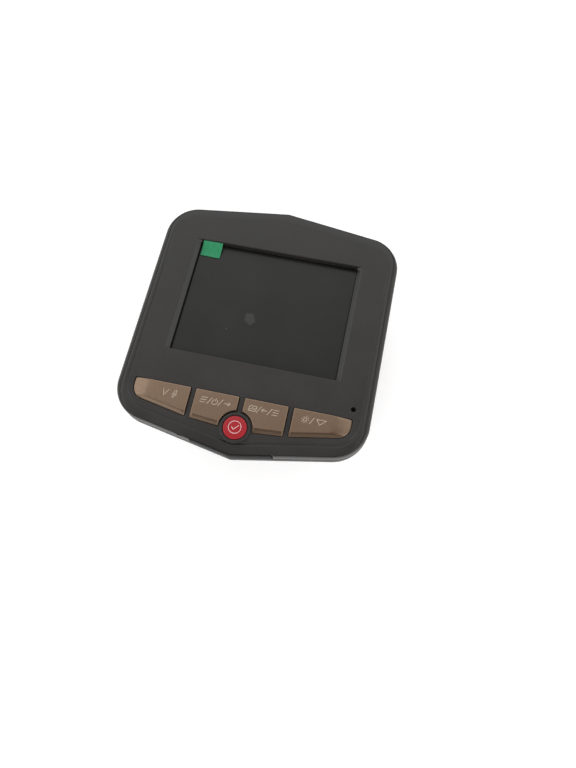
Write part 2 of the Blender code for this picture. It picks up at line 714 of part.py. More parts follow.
def make_speaker():
    """A round speaker: frame, narrower magnet, and a dished front over the grille."""
    low = BACK_INSIDE + GAP
    high = low + SPEAKER_TALL
    magnet = SPEAKER_RADIUS - 1.6
    profile = [(SPEAKER_RADIUS, low), (SPEAKER_RADIUS, low + 1.2), (magnet, low + 2.0), (magnet, high),
               (0, high)]
    speaker = turned("speaker", SPEAKER_PLACE, profile, steps=28, finish="dark_nylon")
    dish = circle(SPEAKER_PLACE, SPEAKER_RADIUS - 0.8, 28)
    return cut(speaker, prism("speaker_dish", dish, low - 1, low + 0.5))


def make_card():
    """Card socket under the board and the card, which slides out through the left wall."""
    socket_low = BACK_INSIDE + 0.2
    y_low, y_high = card_span(1.2)
    socket = box("card_socket", (-28.9, -15.3), (y_low, y_high), (socket_low, BOARD_LOW - LAYER), "steel")
    inner = CARD_OUT + CARD_LONG
    cut(socket, box("card_channel", (-32.0, inner + GAP), card_span(GAP), (CARD_LOW - 0.15, BOARD_LOW)))
    y_low, y_high = card_span(0)
    outline = [(CARD_OUT, y_low), (inner, y_low), (inner, y_high - 1.5), (inner - 5.0, y_high - 1.5),
               (inner - 5.8, y_high), (CARD_OUT, y_high)]
    card = prism("memory_card", outline, CARD_LOW, CARD_TOP, "gloss_black")
    return put_origin(card, (CARD_OUT, CARD_Y, (CARD_LOW + CARD_TOP) / 2))


def make_power_socket():
    """Metal socket with a hollow mouth and a contact tongue, facing out of the right wall."""
    low = ON_BOARD
    high = ON_BOARD + SOCKET_TALL
    half = SOCKET_WIDE / 2
    inner = half - SOCKET_WALL
    span = (SOCKET_Y - half, SOCKET_Y + half)
    shell = box("power_socket", (26.4, SOCKET_MOUTH), span, (low, high), "steel")
    cut(shell, box("power_mouth", (27.6, SOCKET_MOUTH + 1), (SOCKET_Y - inner, SOCKET_Y + inner),
                   (low + SOCKET_WALL, high - SOCKET_WALL)))
    return join(shell, box("power_tongue", (27.0, SOCKET_MOUTH - 0.8), (SOCKET_Y - 2.2, SOCKET_Y + 2.2),
                           (low + 1.1, low + 1.6)))


def make_microphone():
    """A small round can under the face's hole."""
    profile = [(1.5, 26.4), (1.5, 27.7), (1.2, PLATE_UNDER - 0.3)]
    return turned("microphone", (MIC_PLACE[0] - 0.4, MIC_PLACE[1]), profile, steps=20, finish="brass")


# Lens side --------------------------------------------------------------------------------


def make_lens_side():
    """Ring, lamp plate, lens barrel with its glasses, holder, sensor, lamp board and lamps."""
    ring = [(RIM_INNER, 0.0), (RIM_OUTER, 0.0), (RING_OUTER, 0.8), (RING_OUTER, RING_TALL), (12.6, RING_TALL)]
    turned("lens_ring", LENS_PLACE, ring, closed=True, steps=64, finish="silver")
    outer = BULGE_BORE - GAP
    inner = BARREL_HEAD + GAP
    cover = [(outer, 3.3), (outer, 4.7), (inner, 4.7), (inner, 3.3)]
    plate = turned("lamp_plate", LENS_PLACE, cover, closed=True, steps=44, finish="gloss_black")
    for i in range(LAMP_COUNT):
        angle = 2 * pi * (i + 0.5) / LAMP_COUNT
        place = (LENS_PLACE[0] + LAMP_CIRCLE * cos(angle), LENS_PLACE[1] + LAMP_CIRCLE * sin(angle))
        cut(plate, prism(f"lamp_hole_{i}", circle(place, LAMP_RADIUS + GAP, 18), 2.0, 6.0))
        lamp = [(0, 2.5), (0.8, 2.75), (1.3, 3.3), (LAMP_RADIUS, 4.0), (LAMP_RADIUS, 7.4), (1.8, 7.4),
                (1.8, 8.5)]
        turned(f"lamp_{i + 1}", place, lamp, steps=16, finish="lamp")
    board = [(14.4, 8.6), (14.4, 9.8), (8.0, 9.8), (8.0, 8.6)]
    turned("lamp_board", LENS_PLACE, board, closed=True, steps=40, finish="board")
    barrel = [(BARREL_HEAD - 0.4, 2.4), (BARREL_HEAD, 2.8), (BARREL_HEAD, 8.5), (BARREL_THREAD, 8.5),
              (BARREL_THREAD, 16.5), (4.2, 16.5), (4.2, 5.2), (5.9, 5.2), (5.9, 3.6), (6.4, 2.4)]
    turned("lens_barrel", LENS_PLACE, barrel, closed=True, steps=32, finish="dark_nylon")
    front = [(0, 2.5), (2.2, 2.7), (4.2, 3.3), (5.6, 4.2), (5.6, 4.9)]
    turned("front_lens", LENS_PLACE, front, steps=32, finish="glass")
    rear = [(3.9, 14.6), (3.9, 15.4), (2.4, 15.9), (0, 16.1)]
    turned("rear_lens", LENS_PLACE, rear, steps=24, finish="glass")
    holder = prism("lens_holder", square(LENS_PLACE, 16.0, 16.0), 17.0, BOARD_LOW - LAYER, "dark_nylon")
    join(holder, prism("holder_tube", circle(LENS_PLACE, 7.6, 32), 10.2, 17.5))
    cut(holder, prism("holder_bore", circle(LENS_PLACE, BARREL_THREAD + GAP, 32), 9.0, 20.0))
    prism("image_sensor", square(LENS_PLACE, 8.0, 7.0), 18.2, BOARD_LOW - LAYER, "chip")


def make_screws():
    """Four case screws driven from the back and two short ones that hold the board."""
    for i, place in enumerate(CASE_SCREWS):
        add_screw(f"case_screw_{i + 1}", place, BACK + 0.5, BACK + 1.6, 26.5)
    for i, place in enumerate(BOARD_SCREWS):
        add_screw(f"board_screw_{i + 1}", place, BOARD_TOP + 1.1, BOARD_TOP + LAYER, BACK_INSIDE + 0.2)


def add_screw(name, place, head_end, head_seat, tip):
    """A pan-head screw between its head's outer end and its tip, with a cross recess."""
    profile = [(HEAD, head_end), (HEAD, head_seat), (SHANK, head_seat), (SHANK, tip)]
    if tip < head_end:
        profile.reverse()
    screw = turned(name, place, profile, steps=16, finish="steel")
    inward = 0.5 if tip > head_end else -0.5
    span = sorted((head_end - inward, head_end + inward))
    x, y = place
    for k, (wide, deep) in enumerate(((1.8, 0.36), (0.36, 1.8))):
        cut(screw, box(f"{name}_cross_{k}", (x - wide / 2, x + wide / 2), (y - deep / 2, y + deep / 2), span))
    return screw


def main():
    for old in list(bpy.data.objects):
        bpy.data.objects.remove(old)
    make_front_shell()
    make_back_shell()
    make_trim_band()
    make_bottom_insert()
    make_mount_rail()
    make_screen()
    for name, place in SWITCH_PLACES.items():
        if name == "key_ok":
            make_ok_key()
        else:
            make_flat_key(name)
        make_switch(name, place)
    make_reset()
    make_board()
    make_speaker()
    make_card()
    make_power_socket()
    make_microphone()
    make_lens_side()
    make_screws()


main()
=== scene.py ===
"""Finished look of a shield-shaped in-cab recorder that lies face up on its lens ring.

Lengths in the shape functions are millimetres in the part's own frame; mesh_object() turns
them into metres.  A loop is an (n, 2) array of points seen from above, a ring is an (n, 3) array,
and a patch is a pair of arrays: points and faces.
"""

import json
from math import cos, pi, radians, sin, sqrt, tan

import bmesh
import bpy
import numpy as np
from mathutils import Matrix, Vector
from mathutils.geometry import delaunay_2d_cdt


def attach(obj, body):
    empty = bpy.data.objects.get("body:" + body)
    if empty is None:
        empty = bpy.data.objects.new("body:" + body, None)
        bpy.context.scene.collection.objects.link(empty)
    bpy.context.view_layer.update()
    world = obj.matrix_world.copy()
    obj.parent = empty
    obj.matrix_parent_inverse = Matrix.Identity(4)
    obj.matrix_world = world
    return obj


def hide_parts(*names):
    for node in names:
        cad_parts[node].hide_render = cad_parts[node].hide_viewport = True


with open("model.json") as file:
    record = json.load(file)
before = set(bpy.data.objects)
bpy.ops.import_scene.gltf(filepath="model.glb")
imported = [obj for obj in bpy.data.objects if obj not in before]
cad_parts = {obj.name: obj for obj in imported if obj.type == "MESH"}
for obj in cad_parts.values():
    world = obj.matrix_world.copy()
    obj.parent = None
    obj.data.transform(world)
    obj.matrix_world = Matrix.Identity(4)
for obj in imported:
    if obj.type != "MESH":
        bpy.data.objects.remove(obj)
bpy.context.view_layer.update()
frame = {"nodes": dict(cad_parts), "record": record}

MM = 0.001
WELD = 0.002 * MM               # points closer than this become one

# Case outline: a shield with one apex above and one below
HALF_WIDTH = 33.0
APEX = 35.8
TOP_SLOPE = radians(7.6)
BOTTOM_SLOPE = radians(10.6)
CORNERS = (9.6, 8.8)            # radii of the lower and the upper corners
APEX_ROUND = 3.0

# Levels
BACK = 16.0
BACK_INSIDE = 17.6
BACK_TOP = 26.6
FACE = 30.0
PLATE_UNDER = 28.3

# Screen window at the film's level
WINDOW_HALF = 22.35
WINDOW_TOP = 22.7
WINDOW_BOTTOM = -11.1
WINDOW_DRAFT = 1.1              # width of the ramps at the window's sides
WINDOW_ROUND = 0.8
RAMP_LOW = FACE - 0.95          # where the ramps end in an upright step

# Keys
KEY_TOP = -20.6
KEY_MID_BOTTOM = -28.3
KEY_GAP_MID = 12.7
KEY_INNER = (0.75, 12.0)
KEY_OUTER = (13.4, 28.25)
KEY_END_ROUND = 3.6
INNER_SLOPE = radians(4.4)
KEY_LIP = 0.8                   # width of the bevel along a key's lower side
KEY_TIP = 3.4                   # width of the facet at a wing key's outer end
KEY_NOTCH = 4.4
KEY_CLEARANCE = 0.13            # gap round every key
KEY_ROLL = 0.26                 # radius of a key's rolled edge
KEY_EDGE = FACE + 0.15          # upper edge along a key's lower side
TIP_EDGE = FACE - 0.12          # upper edge at a wing key's outer end
KEY_CROWN = FACE + 0.65         # level top of a flat key
KEY_FLANGE = 0.5                # how far a key's flange reaches past its outline
FLANGE_LOW = 27.2
FLANGE_TOP = 28.0
WING_KEYS = ("key_menu", "key_lamp")
LEFT_KEYS = ("key_menu", "key_power")
OK_PLACE = np.array([0.0, -28.7])
OK_RADIUS = 3.0
OK_ROLL = 0.28                  # radius of the round key's rolled edge
OK_TOP = 31.06
OK_DOME = 0.16                  # how far the round key's top falls to its rim
COLLAR_RADIUS = 3.92
COLLAR_TOP = FACE + 0.7
MIC_PLACE = np.array([28.0, -17.9])
MIC_RADIUS = 0.65

# Lens side
LENS_PLACE = np.array([0.0, 1.5])
BULGE_BORE = 15.0
LAMP_CIRCLE = 10.5
LAMP_COUNT = 6
LAMP_RADIUS = 1.5
LAMP_HOLE = 1.8
COVER_FRONT = 3.3               # levels, outer radius and bore of the lamps' cover
COVER_BACK = 4.7
COVER_RADIUS = 14.7
COVER_BORE = 7.5
CASE_SCREWS = ((-22.0, 27.05), (22.0, 27.05), (-27.4, -8.5), (27.4, -8.5))
BOARD_SCREWS = ((-14.5, 22.5), (14.0, -16.5))


# Loops ------------------------------------------------------------------------------------


def eased(share):
    """A smooth step: share^2 x (3 - 2 x share), with the share held between 0 and 1."""
    share = np.clip(share, 0, 1)
    return share * share * (3 - 2 * share)


def rounded(corners, radii, arc_steps=6, side_steps=1, is_open=False):
    """A polygon whose corners are arcs tangent to both neighbouring sides.

    An arc starts radius x tan(half the turn) before its corner, and its points are
    centre + radius x (sin heading, -cos heading) for headings spaced evenly over the turn.
    The straights between arcs are divided into equal steps.
    """
    corners = np.array(corners, float)
    count = len(corners)
    radii = np.broadcast_to(radii, count)
    arcs = []
    for i, corner in enumerate(corners):
        if is_open and i in (0, count - 1) or radii[i] <= 0:
            arcs.append(corner[None])
            continue
        inward = corner - corners[i - 1]
        outward = corners[(i + 1) % count] - corner
        start = np.arctan2(inward[1], inward[0])
        turn = (np.arctan2(outward[1], outward[0]) - start + pi) % (2 * pi) - pi
        side = np.sign(turn)
        first = corner - radii[i] * tan(abs(turn) / 2) * inward / np.linalg.norm(inward)
        centre = first + side * radii[i] * np.array([-sin(start), cos(start)])
        heading = start + turn * np.linspace(0, 1, arc_steps + 1)
        arcs.append(centre + side * radii[i] * np.stack([np.sin(heading), -np.cos(heading)], 1))
    share = np.linspace(0, 1, side_steps + 1)[1:-1, None]
    parts = []
    for i, arc in enumerate(arcs):
        parts.append(arc)
        if not (is_open and i == count - 1):
            parts.append(arc[-1] * (1 - share) + arcs[(i + 1) % count][0] * share)
    return np.vstack(parts)


def shield(side, end=None, low_span=None):
    """Case outline drawn in by one amount at the flanks and another at the gabled ends.

    low_span leaves out the bottom middle ("around") or keeps only that ("across"), between
    two upright cuts at the given distance either side of the middle.
    """
    end = side if end is None else end
    half = HALF_WIDTH - side
    top = APEX - end / cos(TOP_SLOPE)
    bottom = -APEX + end / cos(BOTTOM_SLOPE)
    shoulder = top - half * tan(TOP_SLOPE)
    hip = bottom + half * tan(BOTTOM_SLOPE)
    low, high = (max(radius - side, 0.5) for radius in CORNERS)
    if low_span is None:
        corners = [(0, bottom), (half, hip), (half, shoulder), (0, top), (-half, shoulder), (-half, hip)]
        return rounded(corners, [APEX_ROUND, low, high, APEX_ROUND, high, low], 14, 12)
    way, reach = low_span
    cut = bottom + reach * tan(BOTTOM_SLOPE)
    if way == "across":
        return rounded([(-reach, cut), (0, bottom), (reach, cut)], APEX_ROUND, 8, 8, is_open=True)
    corners = [(reach, cut), (half, hip), (half, shoulder), (0, top),
               (-half, shoulder), (-half, hip), (-reach, cut)]
    return rounded(corners, [0, low, high, APEX_ROUND, high, low, 0], 14, 12, is_open=True)


def circle(centre, radius, steps=48):
    """Points of a circle: centre + radius x (cos t, sin t)."""
    turn = np.linspace(0, 2 * pi, steps, endpoint=False)
    return np.asarray(centre) + radius * np.stack([np.cos(turn), np.sin(turn)], 1)


def window_loop(side, end):
    """The screen window, widened by one amount at its sides and another at its ends."""
    x = WINDOW_HALF + side
    bottom = WINDOW_BOTTOM - end
    top = WINDOW_TOP + end
    corners = [(-x, bottom), (x, bottom), (x, top), (-x, top)]
    return rounded(corners, WINDOW_ROUND, 6, 8)


def wing_key_loop(grow, lip, tip):
    """Right-hand wing key: level top, sloping lower edge, rounded outer end."""
    left = KEY_OUTER[0] - grow
    right = KEY_OUTER[1] + grow - tip
    top = KEY_TOP + grow
    xs = np.array([left, right])
    lower = KEY_MID_BOTTOM + (xs - KEY_GAP_MID) * tan(BOTTOM_SLOPE) - grow / cos(BOTTOM_SLOPE) + lip
    corners = [(left, lower[0]), (right, lower[1]), (right, top), (left, top)]
    tight = 0.3 + max(grow, 0)
    return rounded(corners, [tight, KEY_END_ROUND + grow - tip / 4, 0.1 + tight, tight], 10, 10)


def middle_key_loop(grow, lip):
    """Key right of the middle: a rectangle whose lower inner corner is cut by the collar's circle.

    The lower edge y = middle + slope x meets the circle about the round key where the
    quadratic for x has its larger root.
    """
    left = KEY_INNER[0] - grow
    right = KEY_INNER[1] + grow
    top = KEY_TOP + grow
    notch = KEY_NOTCH - 0.85 * grow
    slope = tan(INNER_SLOPE)
    middle = KEY_MID_BOTTOM - KEY_GAP_MID * slope - grow / cos(INNER_SLOPE) + lip
    rise = middle - OK_PLACE[1]
    meet = (sqrt(notch ** 2 * (1 + slope ** 2) - rise ** 2) - rise * slope) / (1 + slope ** 2)
    high = sqrt(notch ** 2 - left ** 2)
    corners = [(meet, middle + meet * slope), (right, middle + right * slope), (right, top), (left, top),
               (left, OK_PLACE[1] + high)]
    straight = rounded(corners, 0.3 + max(grow, 0), 6, 10, is_open=True)
    turn = np.linspace(np.arctan2(high, left), np.arctan2(rise + meet * slope, meet), 17)[1:-1]
    return np.vstack([straight, OK_PLACE + notch * np.stack([np.cos(turn), np.sin(turn)], 1)])


def key_loop(name, grow=0.0, lip=0.0, tip=0.0):
    """Outline of one flat key, grown outwards; the left-hand keys mirror the right-hand ones."""
    loop = wing_key_loop(grow, lip, tip) if name in WING_KEYS else middle_key_loop(grow, lip)
    if name in LEFT_KEYS:
        loop = loop[::-1] * (-1, 1)
    return loop


# Patches ----------------------------------------------------------------------------------


def level(loop, z):
    """The loop's points at height z, which may be one number or one per point."""
    return np.column_stack([loop, np.broadcast_to(z, len(loop))])


def skin(rings, closed=False, wrap=True):
    """Quads between each ring and the next; closed joins the last ring to the first."""
    rings = np.asarray(rings, float)
    count, length, _ = rings.shape
    index = np.arange(count * length).reshape(count, length)
    if closed:
        index = np.vstack([index, index[:1]])
    if wrap:
        index = np.hstack([index, index[:, :1]])
    quads = np.stack([index[:-1, :-1], index[:-1, 1:], index[1:, 1:], index[1:, :-1]], -1)
    return rings.reshape(-1, 3), quads.reshape(-1, 4)


def within(points, loop):
    """Whether each point lies inside the loop: a ray along +X crosses its sides an odd number of times."""
    x, y = points.T[:, :, None]
    x0, y0 = loop.T
    x1, y1 = np.roll(loop, -1, 0).T
    spans = (y0 > y) != (y1 > y)
    crossing = x0 + (y - y0) * (x1 - x0) / np.where(y1 == y0, 1.0, y1 - y0)
    return (spans & (crossing > x)).sum(1) % 2 == 1


def flat(outer, holes=(), z=0.0):
    """The level face inside the outer loop and outside the holes, as constrained triangles."""
    loops = [np.asarray(loop, float) for loop in (outer, *holes)]
    edges = []
    start = 0
    for loop in loops:
        index = np.arange(len(loop))
        edges.append(np.stack([index, (index + 1) % len(loop)], 1) + start)
        start += len(loop)
    corners = [Vector(point) for point in np.vstack(loops)]
    made = delaunay_2d_cdt(corners, np.vstack(edges).tolist(), [], 1, 1e-7)
    points = np.array([tuple(point) for point in made[0]])
    triangles = np.array(made[2])
    middles = points[triangles].mean(1)
    kept = within(middles, loops[0])
    for hole in loops[1:]:
        kept &= ~within(middles, hole)
    return level(points, z), triangles[kept]


def end_faces(rings):
    """Two faces that close an open run of profile rings at its two ends (each ring a polygon)."""
    rings = np.asarray(rings, float)
    count = rings.shape[1]
    return [(rings[0], np.arange(count)[None]), (rings[-1], np.arange(count)[None])]


def turned(centre, profile, steps=96, closed=False):
    """A profile of (radius, height) points carried round an upright axis."""
    rings = [level(circle(centre, radius, steps), z) for radius, z in np.asarray(profile, float)]
    return skin(rings, closed)


def ribbon(line, width, low, high, closed=False):
    """A flat strip along a line of points: offsets of half the width to the left and right.

    The offset at a point is square to the mean of its two neighbouring directions and is
    lengthened there so that the strip keeps its width round a bend.
    """
    line = np.asarray(line, float)
    if closed:
        step = np.roll(line, -1, 0) - line
        before = np.roll(step, 1, 0)
    else:
        step = np.diff(line, axis=0)
        before = np.vstack([step[:1], step])
        step = np.vstack([step, step[-1:]])
    step /= np.linalg.norm(step, axis=1)[:, None]
    before = before / np.linalg.norm(before, axis=1)[:, None]
    mean = step + before
    mean /= np.linalg.norm(mean, axis=1)[:, None]
    stretch = width / 2 / np.maximum((mean * step).sum(1), 0.5)
    offset = np.stack([-mean[:, 1], mean[:, 0]], 1) * stretch[:, None]
    corners = [level(line + offset, low), level(line - offset, low), level(line - offset, high),
               level(line + offset, high)]
    rings = np.stack(corners, 1)
    if closed:
        return [skin(rings, closed=True)]
    return [skin(rings), *end_faces(rings)]


# Pieces -----------------------------------------------------------------------------------


def linked(name, data):
    """A new object in the scene, at the origin, for a mesh, light or camera."""
    made = bpy.data.objects.new(name, data)
    bpy.context.scene.collection.objects.link(made)
    return made


def mesh_object(name, patches):
    """One mesh of all the patches, welded where they meet, with its faces turned outwards."""
    points = np.vstack([patch[0] for patch in patches]) * MM
    faces = []
    start = 0
    for corners, polygons in patches:
        faces += (np.asarray(polygons) + start).tolist()
        start += len(corners)
    mesh = bpy.data.meshes.new(name)
    mesh.from_pydata(points.tolist(), [], faces)
    shape = bmesh.new()
    shape.from_mesh(mesh)
    bmesh.ops.remove_doubles(shape, verts=shape.verts, dist=WELD)
    bmesh.ops.recalc_face_normals(shape, faces=shape.faces)
    shape.to_mesh(mesh)
    shape.free()
    return linked(name, mesh)


def shaded(made, crease=32):
    """Smooth shading, crisp past the crease angle, with flat faces kept flat."""
    made.data.shade_smooth()
    made.data.set_sharp_from_angle(angle=radians(crease))
    even = made.modifiers.new("even_shading", "WEIGHTED_NORMAL")
    even.keep_sharp = True
    return made


def carved(made, cutters):
    """Takes the cutters' shapes out of the piece for good and removes the cutters."""
    for cutter in cutters:
        cut = made.modifiers.new(cutter.name, "BOOLEAN")
        cut.operation = "DIFFERENCE"
        cut.solver = "EXACT"
        cut.object = cutter
    bpy.context.view_layer.update()
    result = bpy.data.meshes.new_from_object(made.evaluated_get(bpy.context.evaluated_depsgraph_get()))
    made.modifiers.clear()
    made.data = result
    for cutter in cutters:
        bpy.data.objects.remove(cutter)
    return made


def fitted(made, body, slot, finish, *nodes):
    """Gives a finished piece its body and material, and hides the nodes it stands for; the record slot is
    not used.
    """
    made.data.materials.clear()
    made.data.materials.append(finish)
    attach(made, body)
    if nodes:
        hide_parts(*nodes)
    return made


def softened(node, name, width, finish, slot, body="case"):
    """The node's own shape with rounded edges: a welded copy, coplanar faces joined, bevelled."""
    source = frame["nodes"][node].data
    shape = bmesh.new()
    shape.from_mesh(source)
    bmesh.ops.remove_doubles(shape, verts=shape.verts, dist=WELD)
    bmesh.ops.dissolve_limit(shape, angle_limit=radians(1), verts=shape.verts, edges=shape.edges)
    bmesh.ops.recalc_face_normals(shape, faces=shape.faces)
    mesh = bpy.data.meshes.new(name)
    shape.to_mesh(mesh)
    shape.free()
    if "custom_normal" in mesh.attributes:
        mesh.attributes.remove(mesh.attributes["custom_normal"])
    made = linked(name, mesh)
    mesh.shade_smooth()
    edge = made.modifiers.new("edge_round", "BEVEL")
    edge.width = width * MM
    edge.segments = 2
    edge.limit_method = "ANGLE"
    edge.angle_limit = radians(35)
    edge.harden_normals = True
    return fitted(made, body, slot, finish, node)


# Finishes ---------------------------------------------------------------------------------


def linear(hex_colour):
    """Linear RGBA of an sRGB hex colour."""
    channels = np.array([int(hex_colour[i:i + 2], 16) for i in (1, 3, 5)]) / 255
    bright = np.where(channels <= 0.04045, channels / 12.92, ((channels + 0.055) / 1.055) ** 2.4)
    return (*bright.tolist(), 1.0)


def per_metre(size):
    """Texture scale whose features are about this many millimetres."""
    return 1 / (size * MM)


def add(tree, kind, inputs=None, **settings):
    """Adds a node with its own settings; inputs are values, or sockets to link from."""
    made = tree.nodes.new(kind)
    for name, value in settings.items():
        setattr(made, name, value)
    for name, value in (inputs or {}).items():
        if isinstance(value, bpy.types.NodeSocket):
            tree.links.new(value, made.inputs[name])
        else:
            made.inputs[name].default_value = value
    return made


def blank(name, **values):
    """A new material: its tree, its Principled shader with the given values, and object coordinates."""
    material = bpy.data.materials.new(name)
    material.use_nodes = True
    tree = material.node_tree
    shader = tree.nodes["Principled BSDF"]
    for socket, value in values.items():
        shader.inputs[socket.replace("_", " ")].default_value = value
    place = add(tree, "ShaderNodeTexCoord").outputs["Object"]
    return material, tree, shader, place


NOISE_SPAN = (0.3, 0.7)         # where nearly all values of a noise texture lie


def surface(tree, shader, tone, deep, pale, gloss=None, relief=None):
    """Gives a shader its colour, gloss and relief from texture values.

    tone is (value, start, stop): while the value goes from start to stop, the colour goes from
    deep to pale, each a hex colour or a socket.  gloss is (value, start, stop, low, high) for
    the roughness, and relief is (height, strength, depth) with the depth in millimetres.
    """
    value, start, stop = tone
    share = add(tree, "ShaderNodeMapRange", {"Value": value, "From Min": start, "From Max": stop})
    deep, pale = (linear(colour) if isinstance(colour, str) else colour for colour in (deep, pale))
    mixed = add(tree, "ShaderNodeMix", {0: share.outputs["Result"], 6: deep, 7: pale}, data_type="RGBA")
    tree.links.new(mixed.outputs[2], shader.inputs["Base Color"])
    if gloss:
        value, start, stop, low, high = gloss
        rough = add(tree, "ShaderNodeMapRange", {"Value": value, "From Min": start, "From Max": stop,
                                                 "To Min": low, "To Max": high})
        tree.links.new(rough.outputs["Result"], shader.inputs["Roughness"])
    if relief:
        height, strength, depth = relief
        bump = add(tree, "ShaderNodeBump", {"Height": height, "Strength": strength, "Distance": depth * MM})
        tree.links.new(bump.outputs["Normal"], shader.inputs["Normal"])


def moulded_plastic(name, deep, pale, roughness, grain=0.22, relief=0.006, polish=0.06, shine=0.5):
    """Injection-moulded plastic from a spark-eroded mould.

    Fine even pits give a satin surface, and slow flow and handling marks move its shade and
    gloss a little from place to place.  The pits are drawn about four times as coarse as real
    ones, so that they show.
    """
    material, tree, shader, place = blank(name, IOR=1.53, Specular_IOR_Level=shine)
    pits = add(tree, "ShaderNodeTexNoise", {"Vector": place, "Scale": per_metre(grain), "Detail": 3.0})
    cells = add(tree, "ShaderNodeTexVoronoi", {"Vector": place, "Scale": per_metre(grain * 1.7)},
                feature="SMOOTH_F1")
    marks = add(tree, "ShaderNodeTexNoise", {"Vector": place, "Scale": per_metre(14.0),
                                             "Detail": 5.0, "Roughness": 0.62})
    pits, cells, marks = pits.outputs["Fac"], cells.outputs["Distance"], marks.outputs["Fac"]
    shade = add(tree, "ShaderNodeMath", {0: pits, 1: marks}, operation="MULTIPLY").outputs[0]
    height = add(tree, "ShaderNodeMath", {0: pits, 1: cells}, operation="ADD").outputs[0]
    gloss = (marks, *NOISE_SPAN, roughness - polish, roughness + polish)
    surface(tree, shader, (shade, 0.15, 0.38), deep, pale, gloss, (height, 0.6, relief))
    return material


def sprayed_lacquer(name, deep, pale, roughness, metallic, flake=0.16, orange_peel=1.6, coat=0.35):
    """Metal-flake lacquer sprayed over plastic.

    Tiny flakes vary its glint, and the coat has a faint orange peel about a millimetre and a
    half across.  The flakes are drawn about four times as coarse as real ones.
    """
    material, tree, shader, place = blank(name, Metallic=metallic, IOR=1.5, Coat_Weight=coat,
                                          Coat_Roughness=0.18)
    flakes = add(tree, "ShaderNodeTexVoronoi", {"Vector": place, "Scale": per_metre(flake)})
    peel = add(tree, "ShaderNodeTexNoise", {"Vector": place, "Scale": per_metre(orange_peel), "Detail": 1.0})
    cloud = add(tree, "ShaderNodeTexNoise", {"Vector": place, "Scale": per_metre(9.0), "Detail": 3.0})
    glint = add(tree, "ShaderNodeMath", {0: flakes.outputs["Color"], 1: cloud.outputs["Fac"]},
                operation="MULTIPLY").outputs[0]
    gloss = (flakes.outputs["Distance"], 0.1, 0.7, roughness - 0.03, roughness + 0.05)
    surface(tree, shader, (glint, 0.0, 0.7), deep, pale, gloss, (peel.outputs["Fac"], 0.2, 0.006))
    return material


def brushed_plate(name, deep, pale, roughness, metallic=1.0, grain=(0.08, 4.0, 0.5)):
    """Tin-plated or brushed sheet metal: fine parallel lines left by rolling."""
    material, tree, shader, place = blank(name, Metallic=metallic)
    scale = tuple(per_metre(size) for size in grain)
    stretch = add(tree, "ShaderNodeMapping", {"Vector": place, "Scale": scale}).outputs[0]
    lines = add(tree, "ShaderNodeTexNoise", {"Vector": stretch, "Scale": 1.0, "Detail": 4.0}).outputs["Fac"]
    gloss = (lines, *NOISE_SPAN, roughness - 0.08, roughness + 0.08)
    surface(tree, shader, (lines, *NOISE_SPAN), deep, pale, gloss, (lines, 0.3, 0.01))
    return material


def clinging_film():
    """Polyethylene film clung to the dark display: a soft gloss, greasy smears, sparse dust,
    and a paler spot where air is trapped under it (the "air" attribute)."""
    material, tree, shader, place = blank("clinging_film", IOR=1.47)
    smear = add(tree, "ShaderNodeTexNoise", {"Vector": place, "Scale": per_metre(14.0), "Detail": 2.0})
    smear = smear.outputs["Fac"]
    dust = add(tree, "ShaderNodeTexVoronoi", {"Vector": place, "Scale": per_metre(6.5), "Randomness": 1.0})
    air = add(tree, "ShaderNodeAttribute", attribute_name="air").outputs["Fac"]
    # Each speck is palest out to 0.024 of the pattern's spacing and is gone by 0.036
    speck = add(tree, "ShaderNodeMapRange", {"Value": dust.outputs["Distance"], "From Min": 0.024,
                                             "From Max": 0.036, "To Min": 0.7, "To Max": 0.0})
    greasy = add(tree, "ShaderNodeMapRange", {"Value": smear, "From Min": NOISE_SPAN[0],
                                              "From Max": NOISE_SPAN[1]})
    colour = linear("#171816")
    for share, tint in ((greasy, "#1F201D"), (speck, "#7B7C76")):
        mixed = add(tree, "ShaderNodeMix", {0: share.outputs["Result"], 6: colour, 7: linear(tint)},
                    data_type="RGBA")
        colour = mixed.outputs[2]
    gloss = (smear, *NOISE_SPAN, 0.26, 0.34)
    surface(tree, shader, (air, 0, 1), colour, "#323330", gloss, (smear, 0.1, 0.01))
    return material


def pull_tape():
    """Printed green polyester tape: even colour with a faint weave of roller marks."""
    material, tree, shader, place = blank("pull_tape", IOR=1.55)
    scale = (per_metre(0.5), per_metre(4.0), per_metre(1.0))
    stretch = add(tree, "ShaderNodeMapping", {"Vector": place, "Scale": scale}).outputs[0]
    rolled = add(tree, "ShaderNodeTexNoise", {"Vector": stretch, "Scale": 1.0, "Detail": 3.0}).outputs["Fac"]
    gloss = (rolled, *NOISE_SPAN, 0.36, 0.48)
    surface(tree, shader, (rolled, *NOISE_SPAN), "#1B7C50", "#25895D", gloss, (rolled, 0.3, 0.02))
    return material


def laminate_board():
    """Glass-fibre laminate under green lacquer: a woven cloth pattern shows faintly through."""
    material, tree, shader, place = blank("laminate_board", IOR=1.5, Roughness=0.35)
    cloth = {"Vector": place, "Scale": per_metre(0.9) / 6, "Distortion": 0.4}
    warp, weft = (add(tree, "ShaderNodeTexWave", cloth, bands_direction=way) for way in "XY")
    weave = add(tree, "ShaderNodeMath", {0: warp.outputs["Fac"], 1: weft.outputs["Fac"]},
                operation="MULTIPLY").outputs[0]
    surface(tree, shader, (weave, 0, 1), "#17492B", "#226339", relief=(weave, 0.2, 0.02))
    return material


